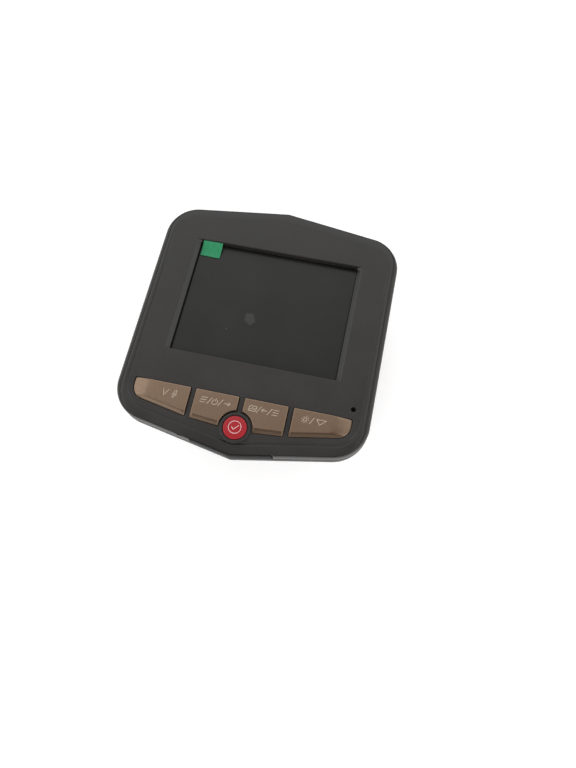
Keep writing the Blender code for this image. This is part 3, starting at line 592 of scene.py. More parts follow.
def coated_glass(name, straight, glancing, roughness=0.03):
    """Polished optical glass with an anti-reflection coat, whose tint turns towards its rim."""
    material, tree, shader, place = blank(name, IOR=1.52, Coat_Weight=1.0, Coat_Roughness=0.02)
    facing = add(tree, "ShaderNodeLayerWeight", {"Blend": 0.45}).outputs["Facing"]
    haze = add(tree, "ShaderNodeTexNoise", {"Vector": place, "Scale": per_metre(3.0), "Detail": 2.0})
    gloss = (haze.outputs["Fac"], *NOISE_SPAN, roughness, roughness + 0.05)
    surface(tree, shader, (facing, 0, 1), straight, glancing, gloss)
    return material


def clear_resin():
    """Cast epoxy of a lamp: pale, glossy, slightly uneven inside."""
    material, tree, shader, place = blank("clear_resin", IOR=1.55, Coat_Weight=0.8, Transmission_Weight=0.35)
    streak = add(tree, "ShaderNodeTexNoise", {"Vector": place, "Scale": per_metre(1.2), "Detail": 2.0})
    streak = streak.outputs["Fac"]
    surface(tree, shader, (streak, *NOISE_SPAN), "#B9BAA8", "#E2E2D6", (streak, *NOISE_SPAN, 0.05, 0.16))
    return material


def printed_ink(name, deep, pale, roughness=0.4):
    """Pad-printed ink: thin, slightly uneven in cover."""
    material, tree, shader, place = blank(name, IOR=1.5)
    cover = add(tree, "ShaderNodeTexNoise", {"Vector": place, "Scale": per_metre(0.4), "Detail": 3.0})
    cover = cover.outputs["Fac"]
    gloss = (cover, *NOISE_SPAN, roughness - 0.06, roughness + 0.08)
    surface(tree, shader, (cover, *NOISE_SPAN), deep, pale, gloss)
    return material


finishes = {
    "face": moulded_plastic("satin_abs_face", "#242322", "#2C2B2A", 0.42),
    # The ramps' copy of the face plastic: smoother, with a paler colour that is painted light on the tilted
    # ramps
    "ramp": moulded_plastic("smooth_abs_ramp_painted_lighter", "#2A2928", "#323130", 0.4, relief=0.002),
    "case": moulded_plastic("textured_abs_case", "#201F1F", "#2A2929", 0.5, grain=0.3, relief=0.012),
    "gloss": moulded_plastic("polished_abs", "#121213", "#1A1A1B", 0.16, relief=0.001, polish=0.04),
    "insert": moulded_plastic("semi_gloss_abs", "#0A0A0B", "#0F0F10", 0.6, relief=0.003, shine=0.15),
    "gauze": moulded_plastic("acoustic_gauze", "#2C2A2B", "#383637", 0.85, grain=0.12, relief=0.02),
    "nylon": moulded_plastic("matt_nylon", "#1E1E20", "#28282A", 0.6, grain=0.35, relief=0.01),
    "red": moulded_plastic("red_abs", "#98141F", "#A61B27", 0.4, relief=0.002),
    "white": moulded_plastic("white_abs", "#D2D2CC", "#E4E4DE", 0.5),
    "chip": moulded_plastic("epoxy_moulding", "#151516", "#202022", 0.45, grain=0.15, relief=0.003),
    "foam": moulded_plastic("closed_cell_foam", "#161616", "#232323", 0.9, grain=0.4, relief=0.05),
    "card": moulded_plastic("card_plastic", "#131314", "#1C1C1D", 0.35, relief=0.002),
    "flex": moulded_plastic("polyimide_ribbon", "#8A4E14", "#A8651E", 0.3, grain=0.6, relief=0.002),
    "rim": sprayed_lacquer("grey_rim_lacquer", "#2C2B2A", "#363533", 0.42, 0.3, coat=0.0),
    "bronze": sprayed_lacquer("bronze_key_lacquer", "#8E7864", "#A38A75", 0.3, 0.88),
    "ring": sprayed_lacquer("silver_ring_lacquer", "#8D8C8A", "#A9A8A5", 0.26, 0.9),
    "plate": brushed_plate("tin_plate", "#8F9091", "#B2B3B3", 0.32),
    "screw": brushed_plate("blackened_steel", "#3A3A3C", "#56565A", 0.38),
    "cell": brushed_plate("laminate_foil", "#A0A5A9", "#BEC2C5", 0.35, 0.9, (2.0, 2.0, 2.0)),
    "brass": brushed_plate("brass_can", "#A58B45", "#C2A95F", 0.3),
    "film": clinging_film(),
    "tape": pull_tape(),
    "board": laminate_board(),
    "display": coated_glass("polarised_display_glass", "#17181A", "#202226", 0.1),
    "lens": coated_glass("coated_lens_glass", "#0A0D18", "#3A2E5C"),
    "resin": clear_resin(),
    "ink": printed_ink("pale_gold_ink", "#AD9E8C", "#C9BAA8"),
    "red_ink": printed_ink("white_ink", "#D9B4B4", "#E8CCCA"),
}


# Face -------------------------------------------------------------------------------------

EDGE = (1.34, 0.34)             # insets of the face plate's outer edge
GROOVE = (2.4, 3.1)             # insets of the groove's middle
GROOVE_HALF = 0.42
GROOVE_DEPTH = 0.24
GROOVE_TOP = 26.0               # where the groove has faded out, and the length of the fade
GROOVE_FADE = 14.0
RIM_DROP = 0.26                 # how far the rim falls from the groove to the edge
EDGE_ROUND = 0.1                # further drop of the outermost edge, over the given share of the rim
EDGE_SHARE = 0.12
HOLE_ROUND = 0.1                # rounding of the key and microphone openings at the face
WINDOW_EDGE = 0.22              # rounding of the screen window at the face
SKIRT_LOW = 24.0
SKIRT_WALL = (1.6, 1.2)         # insets of the skirt's outside
SKIRT_INSIDE = (2.6, 2.6)


def groove_fade(y):
    """Share of the groove's depth: full low on the case, eased to nothing at GROOVE_TOP."""
    return eased((GROOVE_TOP - y) / GROOVE_FADE)


def face_rings():
    """Rings from the plate's outer edge over the falling rim and through the groove.

    The rim's height is FACE - RIM_DROP x (1 - w)^1.6 for w from 0 at the edge to 1 at the
    groove; the groove's depth follows the square of a cosine across its width.
    """
    rings = []
    start = np.array(EDGE)
    stop = np.array(GROOVE) - GROOVE_HALF
    for w in (0.0, 0.05, EDGE_SHARE, 0.25, 0.5, 0.8, 1.0):
        side, end = start + (stop - start) * w
        round_off = EDGE_ROUND * max(1 - w / EDGE_SHARE, 0) ** 2
        rings.append(level(shield(side, end), FACE - RIM_DROP * (1 - w) ** 1.6 - round_off))
    for u in np.linspace(-1, 1, 11)[1:]:
        side, end = np.array(GROOVE) + GROOVE_HALF * u
        loop = shield(side, end)
        depth = GROOVE_DEPTH * cos(pi * u / 2) ** 2
        rings.append(level(loop, FACE - depth * groove_fade(loop[:, 1])))
    return rings


def hole_wall(outline, wall, top, low, edge):
    """A hole's side: a quarter round of the given edge at the face, then straight down.

    outline(grow) is the hole's loop; the quarter round runs from grow = wall + edge at the
    face to grow = wall, as wall + edge x (1 - cos t), top - edge x (1 - sin t).
    """
    turn = np.linspace(pi / 2, 0, 5)
    rounds = zip(wall + edge * (1 - np.cos(turn)), top - edge * (1 - np.sin(turn)))
    rings = [level(outline(grow), z) for grow, z in rounds]
    rings.append(level(outline(wall), low))
    return rings


def build_face():
    """Face moulding: rim, groove, flat plate with every opening, collar, skirt and bosses."""
    top_rings = face_rings()
    skirt = [(*SKIRT_INSIDE, PLATE_UNDER), (*SKIRT_INSIDE, SKIRT_LOW + 0.1), (2.5, 2.3, SKIRT_LOW),
             (1.7, 1.3, SKIRT_LOW), (*SKIRT_WALL, SKIRT_LOW + 0.1), (*SKIRT_WALL, 29.0), (*EDGE, 29.0)]
    rings = [level(shield(side, end), z) for side, end, z in skirt] + top_rings
    patches = [skin(rings)]
    holes_top = []
    holes_low = []

    def opening(wall_rings):
        """Adds a hole's wall, and notes its outline at the face and under the plate."""
        patches.append(skin(wall_rings))
        holes_top.append(wall_rings[0][:, :2])
        holes_low.append(wall_rings[-1][:, :2])

    turn = np.linspace(0, pi / 2, 6)
    slope = WINDOW_DRAFT / (FACE - RAMP_LOW)
    window = []
    for side, z in zip(WINDOW_EDGE * (1 - np.sin(turn)), FACE - WINDOW_EDGE * (1 - np.cos(turn))):
        window.append(level(window_loop(WINDOW_DRAFT - slope * (FACE - z) + side, side), z))
    window += [level(window_loop(0.0, 0.0), z) for z in (RAMP_LOW, PLATE_UNDER)]
    opening(window)
    outlines = [(lambda grow, name=name: key_loop(name, grow), KEY_CLEARANCE) for name in LEGENDS]
    outlines.append((lambda grow: circle(MIC_PLACE, grow, 24), MIC_RADIUS))
    for outline, wall in outlines:
        opening(hole_wall(outline, wall, FACE, PLATE_UNDER, HOLE_ROUND))
    bore = OK_RADIUS + KEY_CLEARANCE
    collar = rounded([(COLLAR_RADIUS + 0.1, FACE), (COLLAR_RADIUS, FACE), (COLLAR_RADIUS, COLLAR_TOP),
                      (bore, COLLAR_TOP), (bore, PLATE_UNDER)], [0, 0.08, 0.28, 0.18, 0], 5, is_open=True)
    opening([level(circle(OK_PLACE, radius, 72), z) for radius, z in collar])
    patches.append(flat(top_rings[-1][:, :2], holes_top, FACE))
    for place in CASE_SCREWS:
        boss = [(2.0, PLATE_UNDER), (2.0, 21.8), (1.1, 21.8), (1.1, 27.3), (0.0, 27.3)]
        patches.append(turned(place, boss, 32))
        holes_low.append(circle(place, 2.0, 32))
    patches.append(flat(rings[0][:, :2], holes_low, PLATE_UNDER))
    return shaded(mesh_object("face_moulding", patches), 28)


def paint_ramps_lighter(face):
    """Gives the window's two side ramps a smoother copy of the face plastic whose paler colour is painted
    light, standing in for the light their tilt catches.

    A ramp's faces have their middles between the window's side and its widened edge, above
    the upright step, and their normals lean towards the middle.
    """
    polygons = face.data.polygons
    middles, normals = np.empty((2, 3 * len(polygons)), np.float32)
    polygons.foreach_get("center", middles)
    polygons.foreach_get("normal", normals)
    x, y, z = middles.astype(float).reshape(-1, 3).T / MM
    lean = np.abs(normals.reshape(-1, 3)[:, 0])
    beside = (np.abs(x) > WINDOW_HALF) & (np.abs(x) < WINDOW_HALF + WINDOW_DRAFT)
    ramp = beside & (y > WINDOW_BOTTOM) & (y < WINDOW_TOP) & (z > RAMP_LOW) & (lean > 0.4)
    face.data.materials.append(finishes["ramp"])
    polygons.foreach_set("material_index", ramp.astype(np.int32))


def band_section():
    """Closed section of the rim band as (side share, end share, height) points."""
    turn = np.linspace(0, pi / 2, 10)
    draw = 1 - np.cos(turn)
    crown = [(1.3 * d, 0.3 * d, 28.5 + 1.25 * sin(t)) for d, t in zip(draw, turn)]
    inside = [(1.3, 0.3, 28.8), (1.2, 0.9, 28.8), (1.2, 0.9, 26.9)]
    return [(0.12, 0.05, 26.9), (0.0, 0.0, 27.05), *crown, *inside]


def build_rim(name, low_span):
    """The rim band or its bottom insert: one section carried along the outline, ends closed."""
    rings = np.stack([level(shield(side, end, low_span), z) for side, end, z in band_section()], 1)
    return mesh_object(name, [skin(rings), *end_faces(rings)])


def upright_box(name, x_span, y_span, z_span):
    """A plain block for carving."""
    x0, x1 = x_span
    y0, y1 = y_span
    loop = np.array([(x0, y0), (x1, y0), (x1, y1), (x0, y1)], float)
    rings = [level(loop, z) for z in z_span]
    return mesh_object(name, [skin(rings), *end_faces(rings)])


def side_bar(name, x, z, radius, y_span):
    """A round bar along Y for carving."""
    loop = circle((x, z), radius, 24)
    rings = [np.column_stack([loop[:, 0], np.full(24, y), loop[:, 1]]) for y in y_span]
    return mesh_object(name, [skin(rings), *end_faces(rings)])


# Screen -----------------------------------------------------------------------------------

AIR_PLACE = (-3.6, 1.9)         # trapped air under the film
AIR_SIZE = (1.35, 1.6)
AIR_RISE = 0.05
FILM_GAP = 0.1                  # room between the film and the window's walls
FILM_TOP = PLATE_UNDER - 0.05
FILM_WAVE = 0.004
FILM_THICK = 0.1
TAB_PLACE = (-19.05, 18.45)     # middle of the pull tab's lower end
TAB_HALF = 2.78
TAB_LONG = 4.1
TAB_LIFT = 0.14
TAB_CURL = 1.3
TAB_TWIST = 0.12


def trapped_air(x, y):
    """Share of the air spot at each point: a five-sided patch with a soft rim.

    The distance is the largest of the point's components along five directions a fifth of a
    turn apart, in units of the spot's half sizes, and the share falls from 1 to 0 between
    distances 0.85 and 1.1.
    """
    across = (x - AIR_PLACE[0] + 0.2 * (y - AIR_PLACE[1])) / AIR_SIZE[0]
    along = (y - AIR_PLACE[1]) / AIR_SIZE[1]
    turns = 0.35 + 2 * pi * np.arange(5) / 5
    distance = np.max([across * cos(t) + along * sin(t) for t in turns], axis=0)
    return eased((1.1 - distance) / 0.25)


def thickened(made, offset):
    """Smooth shading, and the film's thickness on one side of the surface (-1) or on both (0)."""
    made.data.shade_smooth()
    thick = made.modifiers.new("thickness", "SOLIDIFY")
    thick.thickness = FILM_THICK * MM
    thick.offset = offset
    return made


def build_film():
    """Film over the display: a level grid with a millimetre-slow waviness and one air spot.

    Height is FILM_TOP + FILM_WAVE x (sum of three slow sine waves) + AIR_RISE x the share of
    trapped air; a Solidify below it gives the sheet its thickness.
    """
    columns, rows = 180, 136
    x = np.linspace(FILM_GAP - WINDOW_HALF, WINDOW_HALF - FILM_GAP, columns)
    y = np.linspace(WINDOW_BOTTOM + FILM_GAP, WINDOW_TOP - FILM_GAP, rows)
    xx, yy = np.meshgrid(x, y)
    waves = np.sin(xx / 4.1 + 0.7 * np.sin(yy / 5.0)) + np.sin(yy / 3.3 + 1.1) + np.sin((xx + yy) / 2.6)
    air = trapped_air(xx, yy)
    zz = FILM_TOP + FILM_WAVE * waves + AIR_RISE * air
    points, quads = skin(np.stack([xx, yy, zz], -1), wrap=False)
    mesh = bpy.data.meshes.new("screen_film")
    mesh.from_pydata((points * MM).tolist(), [], quads.tolist())
    mesh.attributes.new("air", "FLOAT", "POINT").data.foreach_set("value", air.ravel().astype(np.float32))
    return thickened(linked("screen_film", mesh), -1)


def build_tab():
    """Green pull tab: a strip whose upper end curls up off the film, with a soft twist.

    Along the strip (share s) the height is TAB_LIFT + TAB_CURL x s^2, and across it (c from -1
    to 1) the corners rise by a further TAB_TWIST x c x s.  The strip is a little askew.
    """
    across, along = np.meshgrid(np.linspace(-1, 1, 16), np.linspace(0, 1, 22))
    x = TAB_PLACE[0] + TAB_HALF * across + 0.25 * along
    y = TAB_PLACE[1] + TAB_LONG * along - 0.05 * across
    z = PLATE_UNDER + TAB_LIFT + TAB_CURL * along ** 2 + TAB_TWIST * across * along
    return thickened(mesh_object("pull_tab", [skin(np.stack([x, y, z], -1), wrap=False)]), 0)


# Keys -------------------------------------------------------------------------------------


def key_edge_height(name, loop):
    """Height of a key's upper edge at each point of its outline.

    The top is a level plane, a bevel that rises over KEY_LIP from the lower side, and on a
    wing key a facet that rises over KEY_TIP from the outer end; the lowest of them counts.
    """
    wing = name in WING_KEYS
    x = np.abs(loop[:, 0])
    lower_side = KEY_MID_BOTTOM + (x - KEY_GAP_MID) * tan(BOTTOM_SLOPE if wing else INNER_SLOPE)
    height = KEY_EDGE + (KEY_CROWN - KEY_EDGE) * np.clip((loop[:, 1] - lower_side) / KEY_LIP, 0, 1)
    if wing:
        tip = TIP_EDGE + (KEY_CROWN - TIP_EDGE) * np.clip((KEY_OUTER[1] - x) / KEY_TIP, 0, 1)
        height = np.minimum(height, tip)
    return height


def build_key(name):
    """Flat key: flange, straight side, rolled edge, bevels up to the crown, level top.

    The rolled edge is a quarter circle of KEY_ROLL below the edge height.  The bevels are the
    blend between the edge outline and the crown outline; their height is edge +
    (crown - edge) x (s + 0.08 sin(pi s)), so they are a little rounded.
    """
    tip = KEY_TIP if name in WING_KEYS else 0.0
    height = key_edge_height(name, key_loop(name))
    flange = [(KEY_FLANGE, FLANGE_LOW), (KEY_FLANGE, FLANGE_TOP), (0.0, FLANGE_TOP)]
    rings = [level(key_loop(name, grow), z) for grow, z in flange]
    for t in np.linspace(0, pi / 2, 11):
        rings.append(level(key_loop(name, -KEY_ROLL * (1 - cos(t))), height - KEY_ROLL * (1 - sin(t))))
    edge = key_loop(name, -KEY_ROLL)
    crown = key_loop(name, -KEY_ROLL - 0.04, KEY_LIP, tip)
    for s in np.linspace(0, 1, 7)[1:]:
        rise = (KEY_CROWN - height) * (s + 0.08 * sin(pi * s))
        rings.append(level(edge * (1 - s) + crown * s, height + rise))
    patches = [skin(rings), flat(rings[0][:, :2], z=FLANGE_LOW), flat(rings[-1][:, :2], z=KEY_CROWN)]
    return shaded(mesh_object(name + "_cap", patches), 10)


def ok_dome(radius):
    """Height of the round key's top: OK_TOP - OK_DOME x (radius / OK_RADIUS)^2."""
    return OK_TOP - OK_DOME * (np.asarray(radius) / OK_RADIUS) ** 2


def build_ok():
    """Round key: flange, side, rolled edge and shallow dome."""
    flange = OK_RADIUS + KEY_FLANGE
    lower = [(0.0, FLANGE_LOW), (flange, FLANGE_LOW), (flange, FLANGE_TOP), (OK_RADIUS, FLANGE_TOP)]
    start = OK_RADIUS - OK_ROLL
    middle = float(ok_dome(start)) - OK_ROLL
    rolled = [(start + OK_ROLL * cos(t), middle + OK_ROLL * sin(t)) for t in np.linspace(0, pi / 2, 7)]
    radii = np.linspace(start, 0, 12)[1:]
    profile = [*lower, *rolled, *zip(radii, ok_dome(radii))]
    return shaded(mesh_object("ok_cap", [turned(OK_PLACE, profile, 96)]), 40)


def arc_line(centre, radius, start, stop, steps=14):
    """Points of an arc between two angles in degrees."""
    turn = np.radians(np.linspace(start, stop, steps))
    return np.asarray(centre) + radius * np.stack([np.cos(turn), np.sin(turn)], 1)


LEGEND_HIGH = KEY_CROWN + 0.03
LEGEND_LOW = KEY_CROWN - 0.02
STROKE = 0.14                   # width of every printed stroke
SLANT = 0.25                    # the small marks lean like italics


def legend_strips(marks, place):
    """Printed strokes as thin strips: each mark's points are leaned, then moved to the place."""
    patches = []
    for points, closed in marks:
        line = np.array(points, float)
        line = np.stack([line[:, 0] + SLANT * line[:, 1], line[:, 1]], 1) + place
        patches += ribbon(line, STROKE, LEGEND_LOW, LEGEND_HIGH, closed)
    return patches


def mark_chevron(x):
    """A V-shaped arrow."""
    return [([(x - 0.75, 0.85), (x, -0.75), (x + 0.65, 0.85)], False)]


def mark_voice(x):
    """A small microphone: capsule, cradle and stand."""
    capsule = rounded([(x - 0.28, -0.1), (x + 0.28, -0.1), (x + 0.28, 0.95), (x - 0.28, 0.95)], 0.27, 4)
    return [(capsule, True), (arc_line((x, 0.1), 0.6, 190, 350), False), ([(x, -0.5), (x, -0.9)], False),
            ([(x - 0.4, -0.95), (x + 0.4, -0.95)], False)]


def mark_bars(x):
    """Three list bars."""
    return [([(x - 0.75, y), (x + 0.75, y)], False) for y in (-0.65, 0.0, 0.65)]


def mark_slash(x):
    """A leaning divider."""
    return [([(x - 0.3, -0.9), (x + 0.3, 0.9)], False)]


def mark_power(x):
    """A standby ring with its bar."""
    return [(arc_line((x, -0.1), 0.68, 120, 420, 20), False), ([(x, 0.05), (x, 0.9)], False)]


def mark_frame(x):
    """A picture frame."""
    border = rounded([(x - 0.9, -0.65), (x + 0.9, -0.65), (x + 0.9, 0.65), (x - 0.9, 0.65)], 0.15, 3)
    return [(border, True), ([(x - 0.7, -0.45), (x - 0.1, 0.2), (x + 0.35, -0.25), (x + 0.7, 0.1)], False)]


def mark_arrow(x, way):
    """An arrow with a shaft, pointing along +X (way 1) or -X (way -1)."""
    return [([(x - 0.7 * way, 0), (x + 0.7 * way, 0)], False),
            ([(x + 0.15 * way, 0.5), (x + 0.75 * way, 0), (x + 0.15 * way, -0.5)], False)]


def mark_lamp(x):
    """A lamp: a small ring with eight rays."""
    marks = [(arc_line((x, 0), 0.42, 0, 345, 16), True)]
    for k in range(8):
        way = np.array([cos(pi * k / 4), sin(pi * k / 4)])
        marks.append(((x, 0) + np.outer((0.66, 0.98), way), False))
    return marks


def mark_triangle(x):
    """An outlined triangle pointing down."""
    return [([(x - 1.2, 0.6), (x, -0.75), (x + 1.2, 0.6)], True)]


LEGENDS = {
    "key_menu": ((-18.5, -23.3), mark_chevron(-1.1) + mark_voice(1.4)),
    "key_power": ((-6.2, -23.2), mark_bars(-3.3) + mark_slash(-1.7) + mark_power(-0.3) + mark_slash(1.1)
                  + mark_arrow(2.9, 1)),
    "key_mode": ((6.4, -23.0), mark_frame(-3.2) + mark_slash(-1.6) + mark_arrow(-0.2, -1) + mark_slash(1.2)
                 + mark_bars(2.7)),
    "key_lamp": ((18.7, -23.1), mark_lamp(-2.0) + mark_slash(-0.3) + mark_triangle(1.9)),
}


def build_ok_print():
    """Ring and tick printed on the round key, following its dome."""
    ring = circle((0, 0), 1.58, 64)
    tick = np.array([(-0.85, 0.0), (-0.25, -0.62), (0.95, 0.62)])
    patches = []
    for line, closed in ((ring, True), (tick, False)):
        for points, faces in ribbon(line, STROKE, -0.02, 0.02, closed):
            rise = ok_dome(np.hypot(points[:, 0], points[:, 1]))
            patches.append((points + np.column_stack([np.tile(OK_PLACE, (len(points), 1)), rise]), faces))
    return mesh_object("ok_print", patches)


# Lens side --------------------------------------------------------------------------------


SLOT_HALF = 0.4                 # half width of a speaker slot
BACK_ROUND = 2.0                # radius of the back's outer edge
BACK_DRAFT = 1.6                # how far the walls lean in towards the back
WALL_TALL = 6.7                 # height of the leaning walls above that edge


def slot_loop(centre, half_long, half_wide, grow=0.0):
    """A slot with round ends."""
    x, y = centre
    a = half_long + grow
    b = half_wide + grow
    return rounded([(x - a, y - b), (x + a, y - b), (x + a, y + b), (x - a, y + b)], b * 0.98, 6, 2)


def build_back():
    """Back moulding: walls, plate, lens bulge, screw wells, speaker slots and inner posts."""
    turn = np.linspace(0, pi / 2, 9)
    outside = [(BACK_DRAFT + BACK_ROUND * (1 - sin(t)), BACK + BACK_ROUND * (1 - cos(t))) for t in turn]
    outside += [(BACK_DRAFT * (1 - s), BACK + BACK_ROUND + WALL_TALL * s) for s in np.linspace(0, 1, 6)[1:]]
    profile = [(inset, inset, z) for inset, z in outside]
    profile += [(0, 0, 26.45), (0.05, 0.05, 26.56), (0.15, 0.12, BACK_TOP), (1.2, 0.9, BACK_TOP),
                (1.2, 0.9, 23.7), (3.2, 3.2, 23.7), (3.2, 3.2, BACK_INSIDE)]
    rings = [level(shield(side, end), z) for side, end, z in profile]
    patches = [skin(rings)]
    flare = rounded([(18.8, BACK), (17.25, 15.0), (16.8, 4.2), (16.2, 3.3), (BULGE_BORE, 3.3),
                     (BULGE_BORE, BACK_INSIDE)], [0, 3.0, 0.6, 0.3, 0.15, 0], 6, 3, is_open=True)
    patches.append(turned(LENS_PLACE, flare, 128))
    low_holes = [circle(LENS_PLACE, flare[0][0], 128)]
    high_holes = [circle(LENS_PLACE, BULGE_BORE, 128)]
    for place in CASE_SCREWS:
        well = [(2.0, BACK), (1.92, BACK + 0.04), (1.9, BACK + 0.15), (1.9, 17.9), (1.1, 17.9), (1.1, 21.5),
                (2.2, 21.5), (2.2, BACK_INSIDE)]
        patches.append(turned(place, well, 40))
        low_holes.append(circle(place, 2.0, 40))
        high_holes.append(circle(place, 2.2, 40))
    for place in BOARD_SCREWS:
        post = [(1.8, BACK_INSIDE), (1.8, 19.1), (1.1, 19.1), (1.1, 17.0), (0, 17.0)]
        patches.append(turned(place, post, 32))
        high_holes.append(circle(place, 1.8, 32))
    for i in range(5):
        centre = (20.2, 15.5 + 2.0 * (i - 2))
        reach = 4.6 - 0.5 * abs(i - 2)
        wall = hole_wall(lambda grow: slot_loop(centre, reach - SLOT_HALF, 0.0, grow), SLOT_HALF, 0.0,
                         BACK - BACK_INSIDE, 0.12)
        wall = [ring * (1, 1, -1) + (0, 0, BACK) for ring in wall]
        patches.append(skin(wall))
        low_holes.append(wall[0][:, :2])
        high_holes.append(wall[-1][:, :2])
    patches.append(flat(rings[0][:, :2], low_holes, BACK))
    patches.append(flat(rings[-1][:, :2], high_holes, BACK_INSIDE))
    shell = mesh_object("back_moulding", patches)
    return shaded(carved(shell, [
        upright_box("rail_notch", (-8.8, 8.8), (25.1, 40.0), (15.0, 21.9)),
        upright_box("card_slot", (-40.0, -28.0), (-2.8, 8.8), (17.9, 19.2)),
        upright_box("power_opening", (28.0, 40.0), (-1.05, 7.05), (20.8, 24.0)),
        side_bar("reset_hole", -13.5, 22.8, 0.6, (-37.0, -28.5)),
    ]), 30)


def build_lens_ring():
    """Silver ring: flat resting rim, chamfered edge, knurl-free side and a cone down to its bore."""
    corners = [(14.0, 0.0), (15.6, 0.0), (16.3, 0.8), (16.3, 3.0), (12.6, 3.0)]
    profile = rounded(corners, [0.12, 0.25, 0.3, 0.15, 0.1], 4, 3)
    return shaded(mesh_object("silver_ring", [turned(LENS_PLACE, profile, 160, closed=True)]), 30)


def lamp_place(k):
    """Place of a lamp: six, evenly round the lens, none of them straight to its right."""
    angle = 2 * pi * (k + 0.5) / LAMP_COUNT
    return LENS_PLACE + LAMP_CIRCLE * np.array([cos(angle), sin(angle)])


def build_lamp_cover():
    """Gloss cover round the lens with a hole for every lamp, as rings of walls between two faces."""
    front, back = COVER_FRONT, COVER_BACK
    patches = [turned(LENS_PLACE, [(COVER_RADIUS, back), (COVER_RADIUS, front)], 128),
               turned(LENS_PLACE, [(COVER_BORE, front), (COVER_BORE, back)], 96)]
    bore = circle(LENS_PLACE, COVER_BORE, 96)
    front_holes = [bore]
    back_holes = [bore]
    for k in range(LAMP_COUNT):
        place = lamp_place(k)
        side = [(LAMP_HOLE + 0.15, front), (LAMP_HOLE + 0.03, front + 0.05), (LAMP_HOLE, front + 0.15),
                (LAMP_HOLE, back)]
        patches.append(turned(place, side, 36))
        front_holes.append(circle(place, LAMP_HOLE + 0.15, 36))
        back_holes.append(circle(place, LAMP_HOLE, 36))
    rim = circle(LENS_PLACE, COVER_RADIUS, 128)
    patches += [flat(rim, front_holes, front), flat(rim, back_holes, back)]
    return shaded(mesh_object("lamp_cover", patches), 30)


def build_barrel():
    """Lens barrel: chamfered head, ribbed funnel inside it, threaded tail and a clear bore.

    The funnel's steps and the tail's thread are saw-tooth rows in the turned profile.
    """
    head = [(6.45, 2.4), (6.8, 2.4), (7.2, 2.8), (7.2, 8.5), (5.85, 8.5)]
    thread = [(5.85 - 0.18 * (k % 2), 8.8 + 0.3 * k) for k in range(25)]
    bore = [(5.6, 16.5), (4.2, 16.5), (4.2, 5.2), (5.9, 5.2), (5.9, 3.95)]
    funnel = [(5.95 + 0.07 * (k // 2 + k % 2), 3.9 - 0.22 * (k // 2)) for k in range(12)]
    profile = head + thread + bore + funnel
    return shaded(mesh_object("barrel", [turned(LENS_PLACE, profile, 112, closed=True)]), 25)


def build_front_glass():
    """Front lens: z = 2.5 + R - sqrt(R^2 - r^2), a spherical cap, then a straight edge."""
    edge = 5.6
    sphere = 9.9
    radii = np.linspace(0, edge, 26)
    cap = np.stack([radii, 2.5 + sphere - np.sqrt(sphere ** 2 - radii ** 2)], 1)
    profile = np.vstack([cap, [(edge, 4.9), (0.0, 4.9)]])
    return shaded(mesh_object("front_glass", [turned(LENS_PLACE, profile, 112)]), 40)


def build_lamp(k):
    """One lamp: a domed clear lens on a straight body with a flange."""
    turn = np.linspace(0, pi / 2, 10)
    dome = np.stack([LAMP_RADIUS * np.sin(turn), 4.0 - LAMP_RADIUS * np.cos(turn)], 1)
    profile = np.vstack([dome, [(LAMP_RADIUS, 7.4), (1.8, 7.4), (1.8, 8.5), (0, 8.5)]])
    return shaded(mesh_object(f"lamp_bulb_{k + 1}", [turned(lamp_place(k), profile, 40)]), 40)


# Assembly ---------------------------------------------------------------------------------

face = fitted(build_face(), "case", "face_plastic", finishes["face"], "front_shell")
# The ramps get a paler colour: painted light on their tilted faces
paint_ramps_lighter(face)
fitted(build_back(), "case", "case_plastic", finishes["case"], "back_shell")
band = carved(build_rim("rim_band", ("around", 10.7)), [
    upright_box("pry_notch", (-14.1, -12.9), (-40.0, -25.0), (29.2, 30.5))])
fitted(shaded(band, 30), "case", "rim_paint", finishes["rim"], "trim_band")
insert = build_rim("rim_insert", ("across", 10.4))
fitted(shaded(insert, 30), "case", "gloss_plastic", finishes["insert"], "bottom_insert")
fitted(build_film(), "case", "clear_film", finishes["film"], "protective_film")
fitted(build_tab(), "case", "green_tape", finishes["tape"], "film_pull_tab")
for key in LEGENDS:
    fitted(build_key(key), key, "key_finish", finishes["bronze"], key)
    spot, strokes = LEGENDS[key]
    fitted(mesh_object(key + "_print", legend_strips(strokes, spot)), key, "key_finish", finishes["ink"])
fitted(build_ok(), "key_ok", "red_plastic", finishes["red"], "key_ok")
fitted(build_ok_print(), "key_ok", "red_plastic", finishes["red_ink"])
fitted(build_lens_ring(), "case", "ring_metal", finishes["ring"], "lens_ring")
fitted(build_lamp_cover(), "case", "gloss_plastic", finishes["gloss"], "lamp_plate")
fitted(build_barrel(), "case", "dark_nylon", finishes["nylon"], "lens_barrel")
fitted(build_front_glass(), "case", "lens_glass", finishes["lens"], "front_lens")
for k in range(LAMP_COUNT):
    fitted(build_lamp(k), "case", "lamp_resin", finishes["resin"], f"lamp_{k + 1}")
softened("mount_rail", "bracket_rail", 0.25, finishes["nylon"], "dark_nylon")
softened("power_socket", "power_shell", 0.1, finishes["plate"], "plated_steel")
for k in range(1, 5):
    softened(f"case_screw_{k}", f"back_screw_{k}", 0.06, finishes["screw"], "screw_steel")

